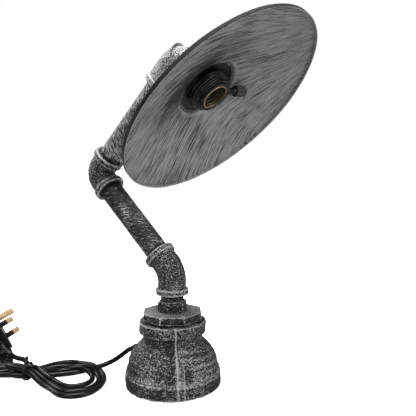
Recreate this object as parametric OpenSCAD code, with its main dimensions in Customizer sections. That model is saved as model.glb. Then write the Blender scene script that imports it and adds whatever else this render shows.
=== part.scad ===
// Industrial pipe table lamp: a reducing socket stands as the foot, screwed pipe
// and elbows carry a shallow flared shade, and a cord leaves the back of the foot.
// Frame: origin at the centre of the underside, +Z up, -Y the front; millimetres.
// The arm lies in one upright plane, turned by arm_azimuth about the vertical.

/* [Foot] */
// Outside diameter of the foot's band
base_d = 108.8; // [104:0.2:114]
// Height of the foot's collar above the table
base_h = 73.5; // [72:0.5:78]
// Thickness of the pad under the foot
pad_t = 1; // [1:0.5:2]
// Width of the octagon bushing across its flats
octagon_af = 65; // [62:0.5:68]

/* [Arm] */
// Turn of the arm's upright plane about the vertical
arm_azimuth = -36.5; // [-180:0.5:180]
// Length of bare pipe between the lower and middle elbows
lower_run = 101.5; // [90:0.5:160]
// Length of bare pipe between the middle and upper elbows
upper_run = 107; // [100:0.5:160]
// Outside diameter of the pipe
pipe_d = 26.9; // [26.7:0.1:27.2]

/* [Shade] */
// Outside diameter of the shade's rim
shade_d = 242.4; // [220:0.2:260]
// Slope of the shade's cone from its rim plane
cone_slope = 17; // [15:0.5:18]
// Wall of the spun shade
shade_wall = 1; // [0.8:0.1:1.2]
// Sag of the shade below the upper elbow's outlet
shade_droop = 2; // [0:0.25:2]

/* [Cord] */
// Diameter of the cord
cord_d = 6; // [5:0.5:6]

/* [Hidden] */
$fn = 96;

// screwed fittings: male threads run 0.05 inside their female bores
male_r = 13.2;
female_r = 13.25;
grip = 14;              // engaged length of a pipe thread
bead_r = 18.5;
bead_w = 6.8;
bead_round = 1.6;
body_r = 16;
bore_r = 11;
pipe_r = pipe_d / 2;
pipe_bore_r = 10.8;
show = 3;               // bare thread left outside a bead

// foot
band_r = base_d / 2;
band_top = 15.7;
bell_r = band_r - 3.8;  // top of the bell, under its curve
neck_r = 34;
bell_z = 25.7;
neck_z = 52.1;
collar_r = 37.9;
big_bore_r = 44;
small_bore_r = 29.55;
bush_thread_r = 29.5;
octagon_z = base_h + 2.2;
octagon_h = 8.7;
hex_z = octagon_z + octagon_h;
hex_h = 11.9;
hex_af = 29.5;
seam_turn = -85;        // casting seam, seen from the front

// elbows: reach is centre to bead face, bend is the centreline radius
reach_45 = 26.7;
bend_45 = 30;
reach_90 = 28.6;
reach_long = 41;
bend_90 = 14;
bend_tight = 9;         // the upper elbow turns more sharply
swell = 0.15;           // a bend is this much fuller than the straight legs
lap = 0.3;              // and the legs run this far into it
run_45 = bend_45 * tan(22.5);
lower_c = [0, 0, hex_z + hex_h + 7.1 + reach_45];
pipe_lean = 45;
lower_dir = [-sin(pipe_lean), 0, cos(pipe_lean)];
upper_dir = [sin(pipe_lean), 0, cos(pipe_lean)];
middle_c = lower_c + (reach_45 + lower_run + reach_90) * lower_dir;
upper_c = middle_c + (reach_90 + upper_run + reach_long) * upper_dir;
outlet_dir = [sin(pipe_lean), 0, -cos(pipe_lean)];
outlet_face = upper_c + reach_90 * outlet_dir;

// shade, measured back from its rim plane
shade_r = shade_d / 2;
lip_h = 4.5;
neck_in_r = 34.2;
shoulder_r = 4;
cup_z = 49;             // closed back of the neck cup
shade_back = 53.5;      // rim plane to the upper elbow's face
tube_r = 5;
shade_axis = 45 + shade_droop;
rim_c = outlet_face + shade_back * [cos(shade_axis), 0, -sin(shade_axis)];

// lampholder, measured back from the rim plane
mouth_z = 17.3;
screw_shell_r = 14.4;
knob_turn = 72;         // round the shade's axis
knob_lean = 12;         // the switch axis leans out of the mouth
knob_foot = [19, 24.6]; // where the switch axis leaves the holder: radius, height

// cord: leaves through the gland, lies in a hank and ends in the plug
cord_r = cord_d / 2;
gland_turn = 146;
gland_z = 34;
gland_face = 46.3;      // spot face for the gland, out from the foot's axis
gland_tilt = 16;
hank_h = 12;
hank_w = 20;
waist_r = 9.2;
lead_route = [[-40.9, 27.6, 33.7], [-46.5, 31.4, 31.8], [-53, 38, 27], [-59.2, 43, 21.3],
    [-65.6, 47, 15.4], [-71.8, 50, 10.5], [-78.6, 51.8, 6.3], [-86.2, 50.6, 3.9],
    [-94.5, 46, 3.1], [-104, 40, 3], [-112, 35.5, 3]];
// each loop of the hank: centre, half axes of its middle line and turn
hank_loops = [[[-121.6, 17.1], [44, 28], 126.7], [[-242, 87], [60, 26], 129.4]];
tie_at = [-170, 24, 10.2];
tie_turn = 168;
plug_at = [-223.9, 108.1, 33.5];
plug_turn = [43.83, 53.5, 72.75];

// ---------------------------------------------------------------- helpers

// frames of the arm: each has +Z along its own axis
module arm_plane() { rotate([0, 0, arm_azimuth]) children(); }
module at_lower() { arm_plane() translate(lower_c) rotate([0, -pipe_lean, 0]) children(); }
module at_middle() { arm_plane() translate(middle_c) rotate([0, pipe_lean, 0]) children(); }
module at_outlet() { arm_plane() translate(upper_c) rotate([0, 90 + pipe_lean, 0]) children(); }
module at_shade() { arm_plane() translate(rim_c) rotate([0, shade_axis - 90, 0]) children(); }
// +Z runs out along the switch axis
module at_switch() {
    at_shade() rotate([0, 0, knob_turn]) translate([knob_foot[0], 0, knob_foot[1]])
        rotate([0, 90 + knob_lean, 0]) children();
}
// +Z runs out through the foot's wall
module at_gland() {
    rotate([0, 0, gland_turn]) translate([gland_face, 0, gland_z]) rotate([0, 90, 0])
        children();
}
module at_plug() { translate(plug_at) rotate(plug_turn) children(); }

// a hollow cylinder from z0 to z1
module tube_z(r, bore, z0, z1) {
    translate([0, 0, z0]) difference() {
        cylinder(h = z1 - z0, r = r);
        translate([0, 0, -1]) cylinder(h = z1 - z0 + 2, r = bore);
    }
}

// a male thread blank from z0 to z1 with a chamfer at both ends
module thread_blank(r, z0, z1, cut = 1) {
    translate([0, 0, z0]) cylinder(h = cut, r1 = r - cut, r2 = r);
    translate([0, 0, z0 + cut]) cylinder(h = z1 - z0 - 2 * cut, r = r);
    translate([0, 0, z1 - cut]) cylinder(h = cut, r1 = r, r2 = r - cut);
}

// a prism of n sides measured across its flats, its top corners turned off
module nut_blank(n, af, h, crown) {
    corner = af / 2 / cos(180 / n);
    intersection() {
        rotate([0, 0, 180 / n]) cylinder(h = h, r = corner, $fn = n);
        union() {
            cylinder(h = h - crown, r = corner + 1);
            translate([0, 0, h - crown])
                cylinder(h = crown, r1 = corner + 0.01, r2 = corner - crown * 1.7);
        }
    }
}

// smooth run through route points, steps to each leg
function spline_at(a, b, c, d, t) = 0.5 * (2 * b + (c - a) * t
    + (2 * a - 5 * b + 4 * c - d) * t * t + (3 * b - a - 3 * c + d) * t * t * t);
function open_run(p, steps) = let (n = len(p)) concat(
    [for (i = [0:n - 2], k = [0:steps - 1])
        spline_at(p[max(i - 1, 0)], p[i], p[i + 1], p[min(i + 2, n - 1)], k / steps)],
    [p[n - 1]]);
function unit(v) = v / norm(v);

// a round tube swept along a route that never points straight up
module swept(route, r, sides, steps) {
    run = open_run(route, steps);
    n = len(run);
    rings = [for (i = [0:n - 1])
        let (t = unit(run[min(i + 1, n - 1)] - run[max(i - 1, 0)]),
             s = unit(cross(t, [0, 0, 1])), u = cross(s, t))
        for (k = [0:sides - 1])
            let (a = 360 * k / sides) run[i] + r * (cos(a) * s + sin(a) * u)];
    skin = [for (i = [0:n - 2], k = [0:sides - 1])
        let (a = i * sides + k, b = i * sides + (k + 1) % sides)
        each [[a, a + sides, b], [b, a + sides, b + sides]]];
    caps = [[for (k = [0:sides - 1]) k], [for (k = [sides - 1:-1:0]) (n - 1) * sides + k]];
    polyhedron(points = rings, faces = concat(skin, caps));
}

// a flat oval band of height h, w wide about its middle line
module oval_band(half, w, h) {
    difference() {
        linear_extrude(height = h) oval(half + [w, w] / 2);
        translate([0, 0, -1]) linear_extrude(height = h + 2) oval(half - [w, w] / 2);
    }
}

module oval(half) {
    polygon([for (k = [0:47]) [half[0] * cos(7.5 * k), half[1] * sin(7.5 * k)]]);
}

// a stadium of height 2r, its round ends spread apart, bored through
module stadium(r, spread) {
    square([2 * spread, 2 * r], center = true);
    for (s = [-1, 1]) translate([s * spread, 0]) circle(r = r);
}

// ------------------------------------------------------- screwed fittings

// rolled bead, its outer face at z = 0 and its body going up
module bead() {
    rotate_extrude() {
        square([bead_r - bead_round, bead_w]);
        translate([0, bead_round]) square([bead_r, bead_w - 2 * bead_round]);
        for (z = [bead_round, bead_w - bead_round])
            translate([bead_r - bead_round, z]) circle(r = bead_round);
    }
}

// the bent length of an elbow, from heading +Z to heading turn towards +X
module bend_arc(r, bend, turn) {
    run = bend * tan(turn / 2);
    translate([bend, 0, -run]) rotate([90, 0, 0])
        rotate_extrude(angle = turn, start = 180 - turn) intersection() {
            translate([bend, 0]) circle(r = r);
            translate([0, -r - 1]) square([bend + r + 1, 2 * r + 2]);
        }
}

// a beaded elbow bored for a thread at each mouth, centred on its corner
module elbow(turn, bend, reach_in, reach_out) {
    run = bend * tan(turn / 2);
    difference() {
        union() {
            translate([0, 0, -reach_in]) bead();
            translate([0, 0, -reach_in + 1])
                cylinder(h = reach_in - run - 1 + lap, r = body_r);
            bend_arc(body_r + swell, bend, turn);
            rotate([0, turn, 0]) {
                translate([0, 0, run - lap]) cylinder(h = reach_out - run - 1 + lap, r = body_r);
                translate([0, 0, reach_out]) mirror([0, 0, 1]) bead();
            }
        }
        mouth(reach_in, run);
        bend_arc(bore_r + swell, bend, turn);
        rotate([0, turn, 0]) mirror([0, 0, 1]) mouth(reach_out, run);
    }
}

// a threaded mouth: lead-in, thread and the way through to the bend
module mouth(reach, run) {
    depth = grip + 0.8;
    translate([0, 0, -reach - 1]) cylinder(h = depth + 1, r = female_r);
    translate([0, 0, -reach - 0.01]) cylinder(h = 2.2, r1 = 15.4, r2 = female_r);
    if (reach - run > depth) translate([0, 0, -reach + depth - 0.5])
        cylinder(h = reach - depth - run + 0.5 + lap, r = bore_r);
}

// a pipe threaded at both ends; z0 and z1 are the bead faces it spans
module pipe(z0, z1) {
    difference() {
        union() {
            thread_blank(male_r, z0 - grip, z0 + show + 2);
            translate([0, 0, z0 + show]) cylinder(h = z1 - z0 - 2 * show, r = pipe_r);
            thread_blank(male_r, z1 - show - 2, z1 + grip);
        }
        translate([0, 0, z0 - grip - 1])
            cylinder(h = z1 - z0 + 2 * grip + 2, r = pipe_bore_r);
    }
}

// ------------------------------------------------------------------ foot

module base_pad() {
    color("#1b1b1b") cylinder(h = pad_t, r = band_r - 3.4);
}

module base_plate() {
    color("#5c5f62") difference() {
        translate([0, 0, pad_t]) cylinder(h = 4, r = big_bore_r - 0.05);
        translate([20, 0, pad_t - 1]) cylinder(h = 6, r = 2.05);
    }
}

// outside of the reducing socket, grown outwards for its casting marks
module reducer_outline(grow) {
    edge = 1.2;
    curve = [for (k = [0:14]) let (t = k / 14)
        [neck_r + (bell_r - neck_r) * (1 - pow(t, 1.9)) + grow, bell_z + (neck_z - bell_z) * t]];
    flare = [for (k = [0:6]) let (a = 180 - 15 * k)
        [collar_r + 4 * cos(a) + grow, 57 + 4.5 * sin(a)]];
    polygon(concat([[0, pad_t], [band_r - edge + grow, pad_t], [band_r + grow, pad_t + edge],
        [band_r + grow, band_top - edge], [band_r - 0.7 + grow, band_top],
        [band_r - 1.5 + grow, band_top + 1], [band_r - 0.9 + grow, band_top + 3],
        [bell_r + 0.6 + grow, band_top + 6.8]], curve, flare,
        [[collar_r + grow, 61.6], [collar_r + grow, base_h - 1],
         [collar_r - 0.6 + grow, base_h], [0, base_h]]));
}

// inside of the reducing socket: wide mouth, hollow bell and threaded collar
module reducer_bore() {
    wall = 6.2;
    polygon(concat([[0, -1], [big_bore_r + 1.5, -1], [big_bore_r + 1.5, pad_t],
        [big_bore_r, pad_t + 1.5], [big_bore_r, bell_z]],
        [for (k = [1:13]) let (t = k / 14)
            [min(big_bore_r, max(small_bore_r, neck_r + (bell_r - neck_r)
                * (1 - pow(t, 1.9)) - wall)), bell_z + (neck_z - bell_z) * t]],
        [[small_bore_r, neck_z - 1], [small_bore_r, base_h - 1.5],
         [small_bore_r + 1.5, base_h], [small_bore_r + 1.5, base_h + 1], [0, base_h + 1]]));
}

module base_reducer() {
    color("#2b2b2b") difference() {
        union() {
            rotate_extrude() reducer_outline(0);
            for (turn = [seam_turn, seam_turn + 180]) intersection() {
                rotate_extrude() reducer_outline(0.6);
                rotate([0, 0, turn]) translate([20, -0.4, 0]) cube([60, 0.8, base_h]);
            }
            intersection() {
                rotate_extrude() reducer_outline(0.9);
                rotate([0, 0, seam_turn]) translate([20, 0, 15.7]) cube([60, 7.5, 19]);
            }
        }
        rotate_extrude() reducer_bore();
        at_gland() {
            translate([0, 0, -20]) cylinder(h = 22, r = 5.05);
            cylinder(h = 20, r = 6.2);
        }
    }
}

module earth_tag() {
    z = pad_t + 4;
    color("#b98d3c") {
        difference() {
            union() {
                translate([20, 0, z]) cylinder(h = 0.8, r = 4.2);
                translate([12.5, -1.5, z]) cube([5, 3, 0.8]);
            }
            translate([20, 0, z - 1]) cylinder(h = 3, r = 2.1);
        }
        translate([9, 0, z + 1.7]) rotate([0, 90, 0]) cylinder(h = 5, r = 1.7);
    }
}

module earth_screw() {
    z = pad_t + 4.8;
    color("#c9b26a") {
        translate([20, 0, pad_t + 0.4]) cylinder(h = 4.5, r = 2);
        difference() {
            translate([20, 0, z]) cylinder(h = 2.4, r = 3.7);
            translate([16, -0.5, z + 1.4]) cube([8, 1, 2]);
        }
    }
}

module earth_wire() {
    color("#3f7d3a") swept([[-17, 11.5, 30.6], [-15.5, 10.3, 24], [-9, 6.5, 14],
        [0, 1.5, 7.6], [5, 0, 6.9], [8.9, 0, pad_t + 5.7]], 1.2, 8, 4);
}

module octagon_bushing() {
    color("#333436") difference() {
        union() {
            translate([0, 0, octagon_z]) nut_blank(8, octagon_af, octagon_h, 0.8);
            thread_blank(bush_thread_r, neck_z - 1, octagon_z + 2, 1.5);
        }
        translate([0, 0, neck_z - 2]) cylinder(h = 15, r = 22);
        translate([0, 0, neck_z + 10]) cylinder(h = octagon_z, r = female_r);
        translate([0, 0, hex_z - 1.6]) cylinder(h = 1.7, r1 = female_r, r2 = 15);
    }
}

module hex_nipple() {
    color("#3a3b3c") difference() {
        union() {
            rotate([0, 0, 15.4]) translate([0, 0, hex_z])
                rotate([0, 0, 30]) nut_blank(6, hex_af, hex_h, 1.4);
            thread_blank(male_r, hex_z - 17, hex_z + 2);
            thread_blank(male_r, hex_z + hex_h - 3, lower_c[2] - reach_45 + grip);
        }
        translate([0, 0, hex_z - 20]) cylinder(h = 80, r = 9.5);
    }
}

module cord_gland() {
    color("#101010") difference() {
        at_gland() {
            translate([0, 0, -12.5]) cylinder(h = 13, r = 5);
            cylinder(h = 2.2, r = 6);
            translate([0, 0, 2]) sphere(r = 4.4);
            translate([0, 0, 2]) rotate([0, gland_tilt, 0]) cylinder(h = 7.5, r1 = 4.6, r2 = 3.9);
        }
        at_gland() {
            translate([0, 0, -14]) cylinder(h = 16, r = cord_r + 0.05);
            translate([0, 0, 2]) sphere(r = cord_r + 0.05);
            translate([0, 0, 2]) rotate([0, gland_tilt, 0]) cylinder(h = 9, r = cord_r + 0.05);
        }
    }
}

module gland_nut() {
    color("#77797b") at_gland() difference() {
        translate([0, 0, -11.8]) nut_blank(6, 13, 3, 0.6);
        translate([0, 0, -13]) cylinder(h = 6, r = 5.05);
    }
}

// ----------------------------------------------------------------- cord inside

// in through the gland, round to the foot's axis and up to the first swivel
module cord_inner_base() {
    sweep = 18;
    top = lower_c[2] - run_45 - 0.4;
    color("#161616") {
        translate([0, 0, gland_z + sweep - lap])
            cylinder(h = top - gland_z - sweep + lap, r = cord_r);
        rotate([0, 0, gland_turn]) {
            translate([sweep, 0, gland_z + sweep]) rotate([90, 0, 0])
                rotate_extrude(angle = 90, start = 180) translate([sweep, 0])
                    circle(r = cord_r + swell);
            translate([sweep - lap, 0, gland_z]) rotate([0, 90, 0])
                cylinder(h = gland_face + 1.5 - sweep + lap, r = cord_r);
        }
    }
}

module cord_inner_lower() {
    color("#161616") arm_plane() translate(lower_c) rotate([0, 0, 180])
        bend_arc(cord_r, bend_45, 45);
}

module cord_inner_middle() {
    length = lower_run + grip + reach_90 - bend_90 - 0.3;
    color("#161616") arm_plane() translate(middle_c) rotate([0, -pipe_lean, 0]) {
        translate([0, 0, -bend_90 - length]) cylinder(h = length, r = cord_r);
        bend_arc(cord_r, bend_90, 90);
    }
}

module cord_inner_upper() {
    length = upper_run + grip + reach_long - bend_90 - 0.1;
    color("#161616") {
        arm_plane() translate(upper_c) rotate([0, pipe_lean, 0]) {
            translate([0, 0, -bend_90 - length]) cylinder(h = length, r = cord_r);
            bend_arc(cord_r, bend_90, 90);
            rotate([0, 90, 0]) translate([0, 0, bend_90]) cylinder(h = 5.5, r = cord_r);
        }
        at_shade() {
            translate([0, 0, 44]) cylinder(h = 18.6, r = cord_r);
            for (s = [-1, 1]) translate([s * 1.6, 0, 41.2]) cylinder(h = 3, r = 1.1);
        }
    }
}

// ----------------------------------------------------------------- arm

module lower_elbow() {
    color("#2f3031") arm_plane() translate(lower_c) rotate([0, 0, 180])
        elbow(45, bend_45, reach_45, reach_45);
}

module lower_pipe() {
    color("#3b3c3d") at_lower() pipe(reach_45, reach_45 + lower_run);
}

module middle_elbow() {
    color("#2f3031") arm_plane() translate(middle_c) rotate([0, -pipe_lean, 0])
        elbow(90, bend_90, reach_90, reach_90);
}

module upper_pipe() {
    color("#3b3c3d") at_middle() pipe(reach_90, reach_90 + upper_run);
}

module upper_elbow() {
    color("#2f3031") arm_plane() translate(upper_c) rotate([0, pipe_lean, 0])
        elbow(90, bend_tight, reach_long, reach_90);
}

// ----------------------------------------------------------------- head

module shade_bush() {
    color("#333435") at_outlet() difference() {
        union() {
            thread_blank(male_r, reach_90 - 12, reach_90 + 1);
            translate([0, 0, reach_90]) nut_blank(6, 30, 3.9, 0.6);
        }
        translate([0, 0, reach_90 - 13]) cylinder(h = 20, r = tube_r + 0.45);
    }
}

module stem_tube() {
    color("#8b8d8f") at_shade() tube_z(tube_r, cord_r + 0.4, 40.4, 63);
}

module stem_nut() {
    color("#8b8d8f") at_shade() difference() {
        translate([0, 0, cup_z - shade_wall - 3.6]) nut_blank(6, 14, 2.6, 0.4);
        translate([0, 0, cup_z - 6]) cylinder(h = 6, r = tube_r + 0.05);
    }
}

module stem_washer() {
    color("#8b8d8f") at_shade()
        tube_z(9, tube_r + 0.2, cup_z - shade_wall - 1, cup_z - shade_wall);
}

// shallow cone with a turned lip, a rolled shoulder and a closed neck cup
module shade() {
    out_r = neck_in_r + shade_wall;
    centre_r = out_r + shoulder_r;
    sweep = 90 - cone_slope;
    join_r = centre_r - shoulder_r * sin(cone_slope);
    centre_z = lip_h + (shade_r - join_r) * tan(cone_slope) + shoulder_r * cos(cone_slope);
    in_r = shoulder_r + shade_wall;
    in_join = centre_r - in_r * sin(cone_slope);
    in_lip = centre_z - in_r * cos(cone_slope)
        - (shade_r - shade_wall - in_join) * tan(cone_slope);
    color("#4a4a4a") at_shade() rotate_extrude($fn = 180) polygon(concat(
        [[shade_r, 0.3], [shade_r, lip_h]],
        [for (k = [0:8]) let (a = 180 + sweep * (1 - k / 8))
            [centre_r + shoulder_r * cos(a), centre_z + shoulder_r * sin(a)]],
        [[out_r, cup_z - 0.8], [out_r - 0.8, cup_z], [tube_r + 0.3, cup_z],
         [tube_r + 0.3, cup_z - shade_wall], [neck_in_r, cup_z - shade_wall]],
        [for (k = [0:8]) let (a = 180 + sweep * k / 8)
            [centre_r + in_r * cos(a), centre_z + in_r * sin(a)]],
        [[shade_r - shade_wall, in_lip], [shade_r - shade_wall, 0.3],
         [shade_r - shade_wall / 2, 0]]));
}

// wide ring that closes the neck cup behind the holder's skirt
module shade_ring() {
    color("#232425") at_shade() tube_z(33.9, 20.3, 32.7, 34.9);
}

module holder_cap() {
    z = cup_z - shade_wall - 3.7;
    color("#17181a") at_shade() difference() {
        union() {
            translate([0, 0, 34.9]) cylinder(h = z - 36.4, r = 22.4);
            translate([0, 0, z - 1.5]) cylinder(h = 1.5, r1 = 22.4, r2 = 20.9);
        }
        translate([0, 0, 34]) cylinder(h = z - 36, r = 20.2);
        translate([0, 0, 34]) cylinder(h = 20, r = tube_r + 0.05);
    }
}

// threaded skirt whose ribs step in towards the mouth
module holder_shell() {
    color("#1c1d1e") at_shade() difference() {
        rotate_extrude() polygon([[14.7, mouth_z + 1.2], [17.6, mouth_z],
            [18.8, mouth_z + 0.4], [19, mouth_z + 1], [19, 20.4], [21, 20.5], [21.3, 21],
            [21.3, 22.2], [20.6, 22.8], [20.6, 25], [23, 25.1], [23.4, 25.6], [23.4, 27],
            [22.6, 27.7], [22.6, 32.6], [20.2, 32.6], [20.2, 40.4], [18, 40.4],
            [18, 30], [14.7, 30]]);
        at_holder_pocket() cube([11, 10.4, 11.4], center = true);
        rotate([0, 0, knob_turn]) translate([knob_foot[0], 0, knob_foot[1]])
            rotate([0, 90 + knob_lean, 0]) cylinder(h = 12, r = 3.55);
    }
}

// seat of the switch in the holder's side, clear of the screw shell
module at_holder_pocket() {
    rotate([0, 0, knob_turn]) translate([20.2, 0, knob_foot[1]]) children();
}

module holder_insert() {
    color("#d9d6cc") at_shade() difference() {
        translate([0, 0, 33]) cylinder(h = 7.2, r = 17.9);
        translate([0, 0, 30]) cylinder(h = 8, r = screw_shell_r + 0.05);
        for (s = [-1, 1]) translate([0, s * 11, 34]) cylinder(h = 8, r = 1.55);
        translate([0, 0, 34]) cylinder(h = 8, r = 1.3);
    }
}

module screw_shell() {
    color("#b08d46") at_shade() difference() {
        translate([0, 0, 17]) cylinder(h = 21, r = screw_shell_r);
        translate([0, 0, 16]) cylinder(h = 21.3, r = screw_shell_r - 0.9);
        translate([0, 0, 30]) cylinder(h = 10, r = 5);
    }
}

module centre_contact() {
    color("#c2a35c") at_shade() {
        translate([0, 0, 37.4]) cylinder(h = 0.6, r = 3.4);
        translate([0, 0, 37.9]) cylinder(h = 2.2, r = 1.25);
    }
}

module terminal_screws() {
    color("#b9a25e") at_shade() for (s = [-1, 1]) translate([0, s * 11, 0]) {
        translate([0, 0, 38.2]) cylinder(h = 2.2, r = 1.5);
        translate([0, 0, 40.2]) cylinder(h = 1.8, r = 2.9);
    }
}

// ----------------------------------------------------------------- switch

module switch_body() {
    color("#141414") at_shade() difference() {
        at_holder_pocket() translate([-2.5, 0, 0]) cube([5.9, 10.2, 11.2], center = true);
        rotate([0, 0, knob_turn]) translate([knob_foot[0], 0, knob_foot[1]])
            rotate([0, 90 + knob_lean, 0]) translate([0, 0, -2]) cylinder(h = 12, r = 3.6);
    }
}

module switch_bush() {
    color("#1a1a1a") at_switch() {
        tube_z(3.5, 1.6, -1.9, 14.5);
        tube_z(4.6, 3.5, 4.4, 6);
    }
}

module switch_shaft() {
    color("#a8823c") at_switch() {
        translate([0, 0, -1.8]) cylinder(h = 24.8, r = 1.55);
    }
}

// fluted knob pressed on the shaft, hollow under its skirt
module switch_knob() {
    color("#151515") at_switch() difference() {
        translate([0, 0, 17]) cylinder(h = 12, r = 6);
        translate([0, 0, 16]) cylinder(h = 7, r = 1.55);
        for (k = [0:15]) rotate([0, 0, k * 22.5]) translate([6.3, 0, 18.2])
            cylinder(h = 12, r = 0.7, $fn = 24);
        translate([0, 0, 28.2]) cylinder(h = 2, r = 4.6);
    }
}

module knob_cap() {
    color("#0d0d0d") at_switch() {
        translate([0, 0, 28.2]) cylinder(h = 1.2, r = 4.55);
        translate([0, 0, 29.4]) cylinder(h = 0.6, r1 = 4.55, r2 = 3.4);
    }
}

// ----------------------------------------------------------------- cord

module cord_lead() {
    color("#141615") swept(lead_route, cord_r, 10, 3);
}

// the doubled hank lies flat: two loops pinched together at the tie
module cord_hank() {
    color("#141615") {
        for (one = hank_loops) translate(one[0]) rotate([0, 0, one[2]])
            oval_band(one[1], hank_w, hank_h);
        translate(tie_at) rotate([0, 0, tie_turn]) rotate([90, 0, 90])
            translate([0, 0, 7]) linear_extrude(height = 50, center = true)
                stadium(waist_r, 1.5);
    }
}

module cord_tie() {
    color("#0c0c0c") translate(tie_at) rotate([0, 0, tie_turn]) {
        rotate([90, 0, 90]) linear_extrude(height = 3.4, center = true) difference() {
            stadium(waist_r + 0.8, 1.5);
            stadium(waist_r, 1.5);
        }
        for (s = [-1, 1]) translate([0, s * 1.2, waist_r + 0.6]) rotate([s * 24, 0, 0])
            cylinder(h = 9, r = 0.8, $fn = 24);
    }
}

module cord_tail() {
    color("#141615") at_plug() translate([0, -21, -9.5]) rotate([90, 0, 0])
        cylinder(h = 25, r = cord_r);
}

// ----------------------------------------------------------------- plug
// plug frame: +Z out along the pins, +Y towards the earth pin, face at z = 0

module plug_boot() {
    color("#0e0e0e") at_plug() difference() {
        translate([0, -10, -9.5]) rotate([90, 0, 0]) {
            cylinder(h = 5, r = 4.6);
            translate([0, 0, 5]) cylinder(h = 7, r1 = 4.6, r2 = 3.8);
        }
        translate([0, -21, -9.5]) rotate([90, 0, 0]) cylinder(h = 3, r = cord_r + 0.05);
    }
}

module plug_body() {
    face = [for (x = [-16.5, 16.5], y = [-9, 23]) [x, y, -7]];
    back = [for (x = [-9.5, 9.5], y = [-5, 13]) [x, y, -22]];
    color("#0e0e0e") at_plug() difference() {
        hull() {
            for (p = face) translate(p) cylinder(h = 7, r = 7, $fn = 32);
            for (p = back) translate(p) cylinder(h = 1, r = 6, $fn = 32);
        }
        translate([0, -10, -9.5]) rotate([90, 0, 0]) cylinder(h = 12, r = 4.65);
        translate([-4.1, -6.1, -10]) cube([8.2, 27.2, 11]);
        for (x = [-11.1, 11.1]) translate([x - 3.25, -2.1, -8]) cube([6.5, 4.2, 9]);
        translate([-2.1, 21.6, -8]) cube([4.2, 8.2, 9]);
    }
}

module fuse_cover() {
    color("#181818") at_plug() difference() {
        translate([-4, -6, -2.4]) cube([8, 25, 2.4]);
        translate([-2.2, 14.5, -0.8]) cube([4.4, 1.4, 2]);
    }
}

module fuse() {
    color("#cfc8b4") at_plug() {
        translate([0, -4.5, -6]) rotate([-90, 0, 0]) cylinder(h = 25, r = 3.15);
    }
}

// a flat pin that is thinner where its sleeve goes
module flat_pin() {
    translate([-3.2, -2, -7.9]) cube([6.4, 4, 7.9]);
    translate([-2.6, -1.45, -1]) cube([5.2, 2.9, 11]);
    translate([-3.15, -2, 9.5]) cube([6.3, 4, 7]);
    translate([-2.75, -1.6, 16.4]) cube([5.5, 3.2, 1.3]);
}

module live_pin() { color("#b08a45") at_plug() translate([11.1, 0, 0]) flat_pin(); }
module neutral_pin() { color("#b08a45") at_plug() translate([-11.1, 0, 0]) flat_pin(); }

module earth_pin() {
    color("#b08a45") at_plug() translate([0, 22.2, 0]) {
        translate([-2, -0.5, -7.9]) cube([4, 8, 29.4]);
        translate([-1.6, -0.1, 21.4]) cube([3.2, 7.2, 1.3]);
    }
}

module pin_sleeves() {
    color("#0e0e0e") at_plug() for (x = [-11.1, 11.1]) translate([x, 0, 0]) difference() {
        translate([-3.15, -2, 0]) cube([6.3, 4, 9.45]);
        translate([-2.65, -1.5, -1]) cube([5.3, 3, 12]);
    }
}

// ----------------------------------------------------------------- nodes

base_pad();
base_plate();
base_reducer();
earth_tag();
earth_screw();
earth_wire();
octagon_bushing();
hex_nipple();
cord_gland();
gland_nut();
cord_inner_base();
lower_elbow();
cord_inner_lower();
lower_pipe();
middle_elbow();
cord_inner_middle();
upper_pipe();
upper_elbow();
cord_inner_upper();
shade_bush();
stem_tube();
stem_nut();
stem_washer();
shade();
shade_ring();
holder_cap();
holder_shell();
holder_insert();
screw_shell();
centre_contact();
terminal_screws();
switch_body();
switch_bush();
switch_shaft();
switch_knob();
knob_cap();
cord_lead();
cord_hank();
cord_tie();
cord_tail();
plug_boot();
plug_body();
fuse_cover();
fuse();
live_pin();
neutral_pin();
earth_pin();
pin_sleeves();
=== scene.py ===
"""Looks of the industrial pipe table lamp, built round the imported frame.

Every visible piece is worked out from the same sizes as the frame, in
millimetres, and placed in metres. The foot, elbows, pipes, shade, lampholder
and switch are fine surfaces that stand for their frame nodes, and the cord is a
curve; the plug and the pieces inside keep their frame meshes and take a finish.
"""
import logging
import math
from dataclasses import dataclass
from enum import Enum
from typing import Callable, Sequence

import bpy
import numpy as np
from mathutils import Matrix, Vector


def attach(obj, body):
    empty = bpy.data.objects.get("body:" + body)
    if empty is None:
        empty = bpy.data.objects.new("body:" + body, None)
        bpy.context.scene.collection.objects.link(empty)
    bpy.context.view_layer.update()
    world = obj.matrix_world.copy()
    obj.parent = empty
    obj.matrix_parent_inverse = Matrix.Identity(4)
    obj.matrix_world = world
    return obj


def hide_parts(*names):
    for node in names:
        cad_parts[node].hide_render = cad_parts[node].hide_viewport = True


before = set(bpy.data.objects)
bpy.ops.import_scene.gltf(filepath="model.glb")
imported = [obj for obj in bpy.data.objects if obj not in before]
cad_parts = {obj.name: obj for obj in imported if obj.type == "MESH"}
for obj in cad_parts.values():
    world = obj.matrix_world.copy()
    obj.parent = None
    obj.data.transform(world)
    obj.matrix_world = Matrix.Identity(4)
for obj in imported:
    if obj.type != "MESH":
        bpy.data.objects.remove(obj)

LOG = logging.getLogger("pipe_lamp")
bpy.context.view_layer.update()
MM = 0.001

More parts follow.
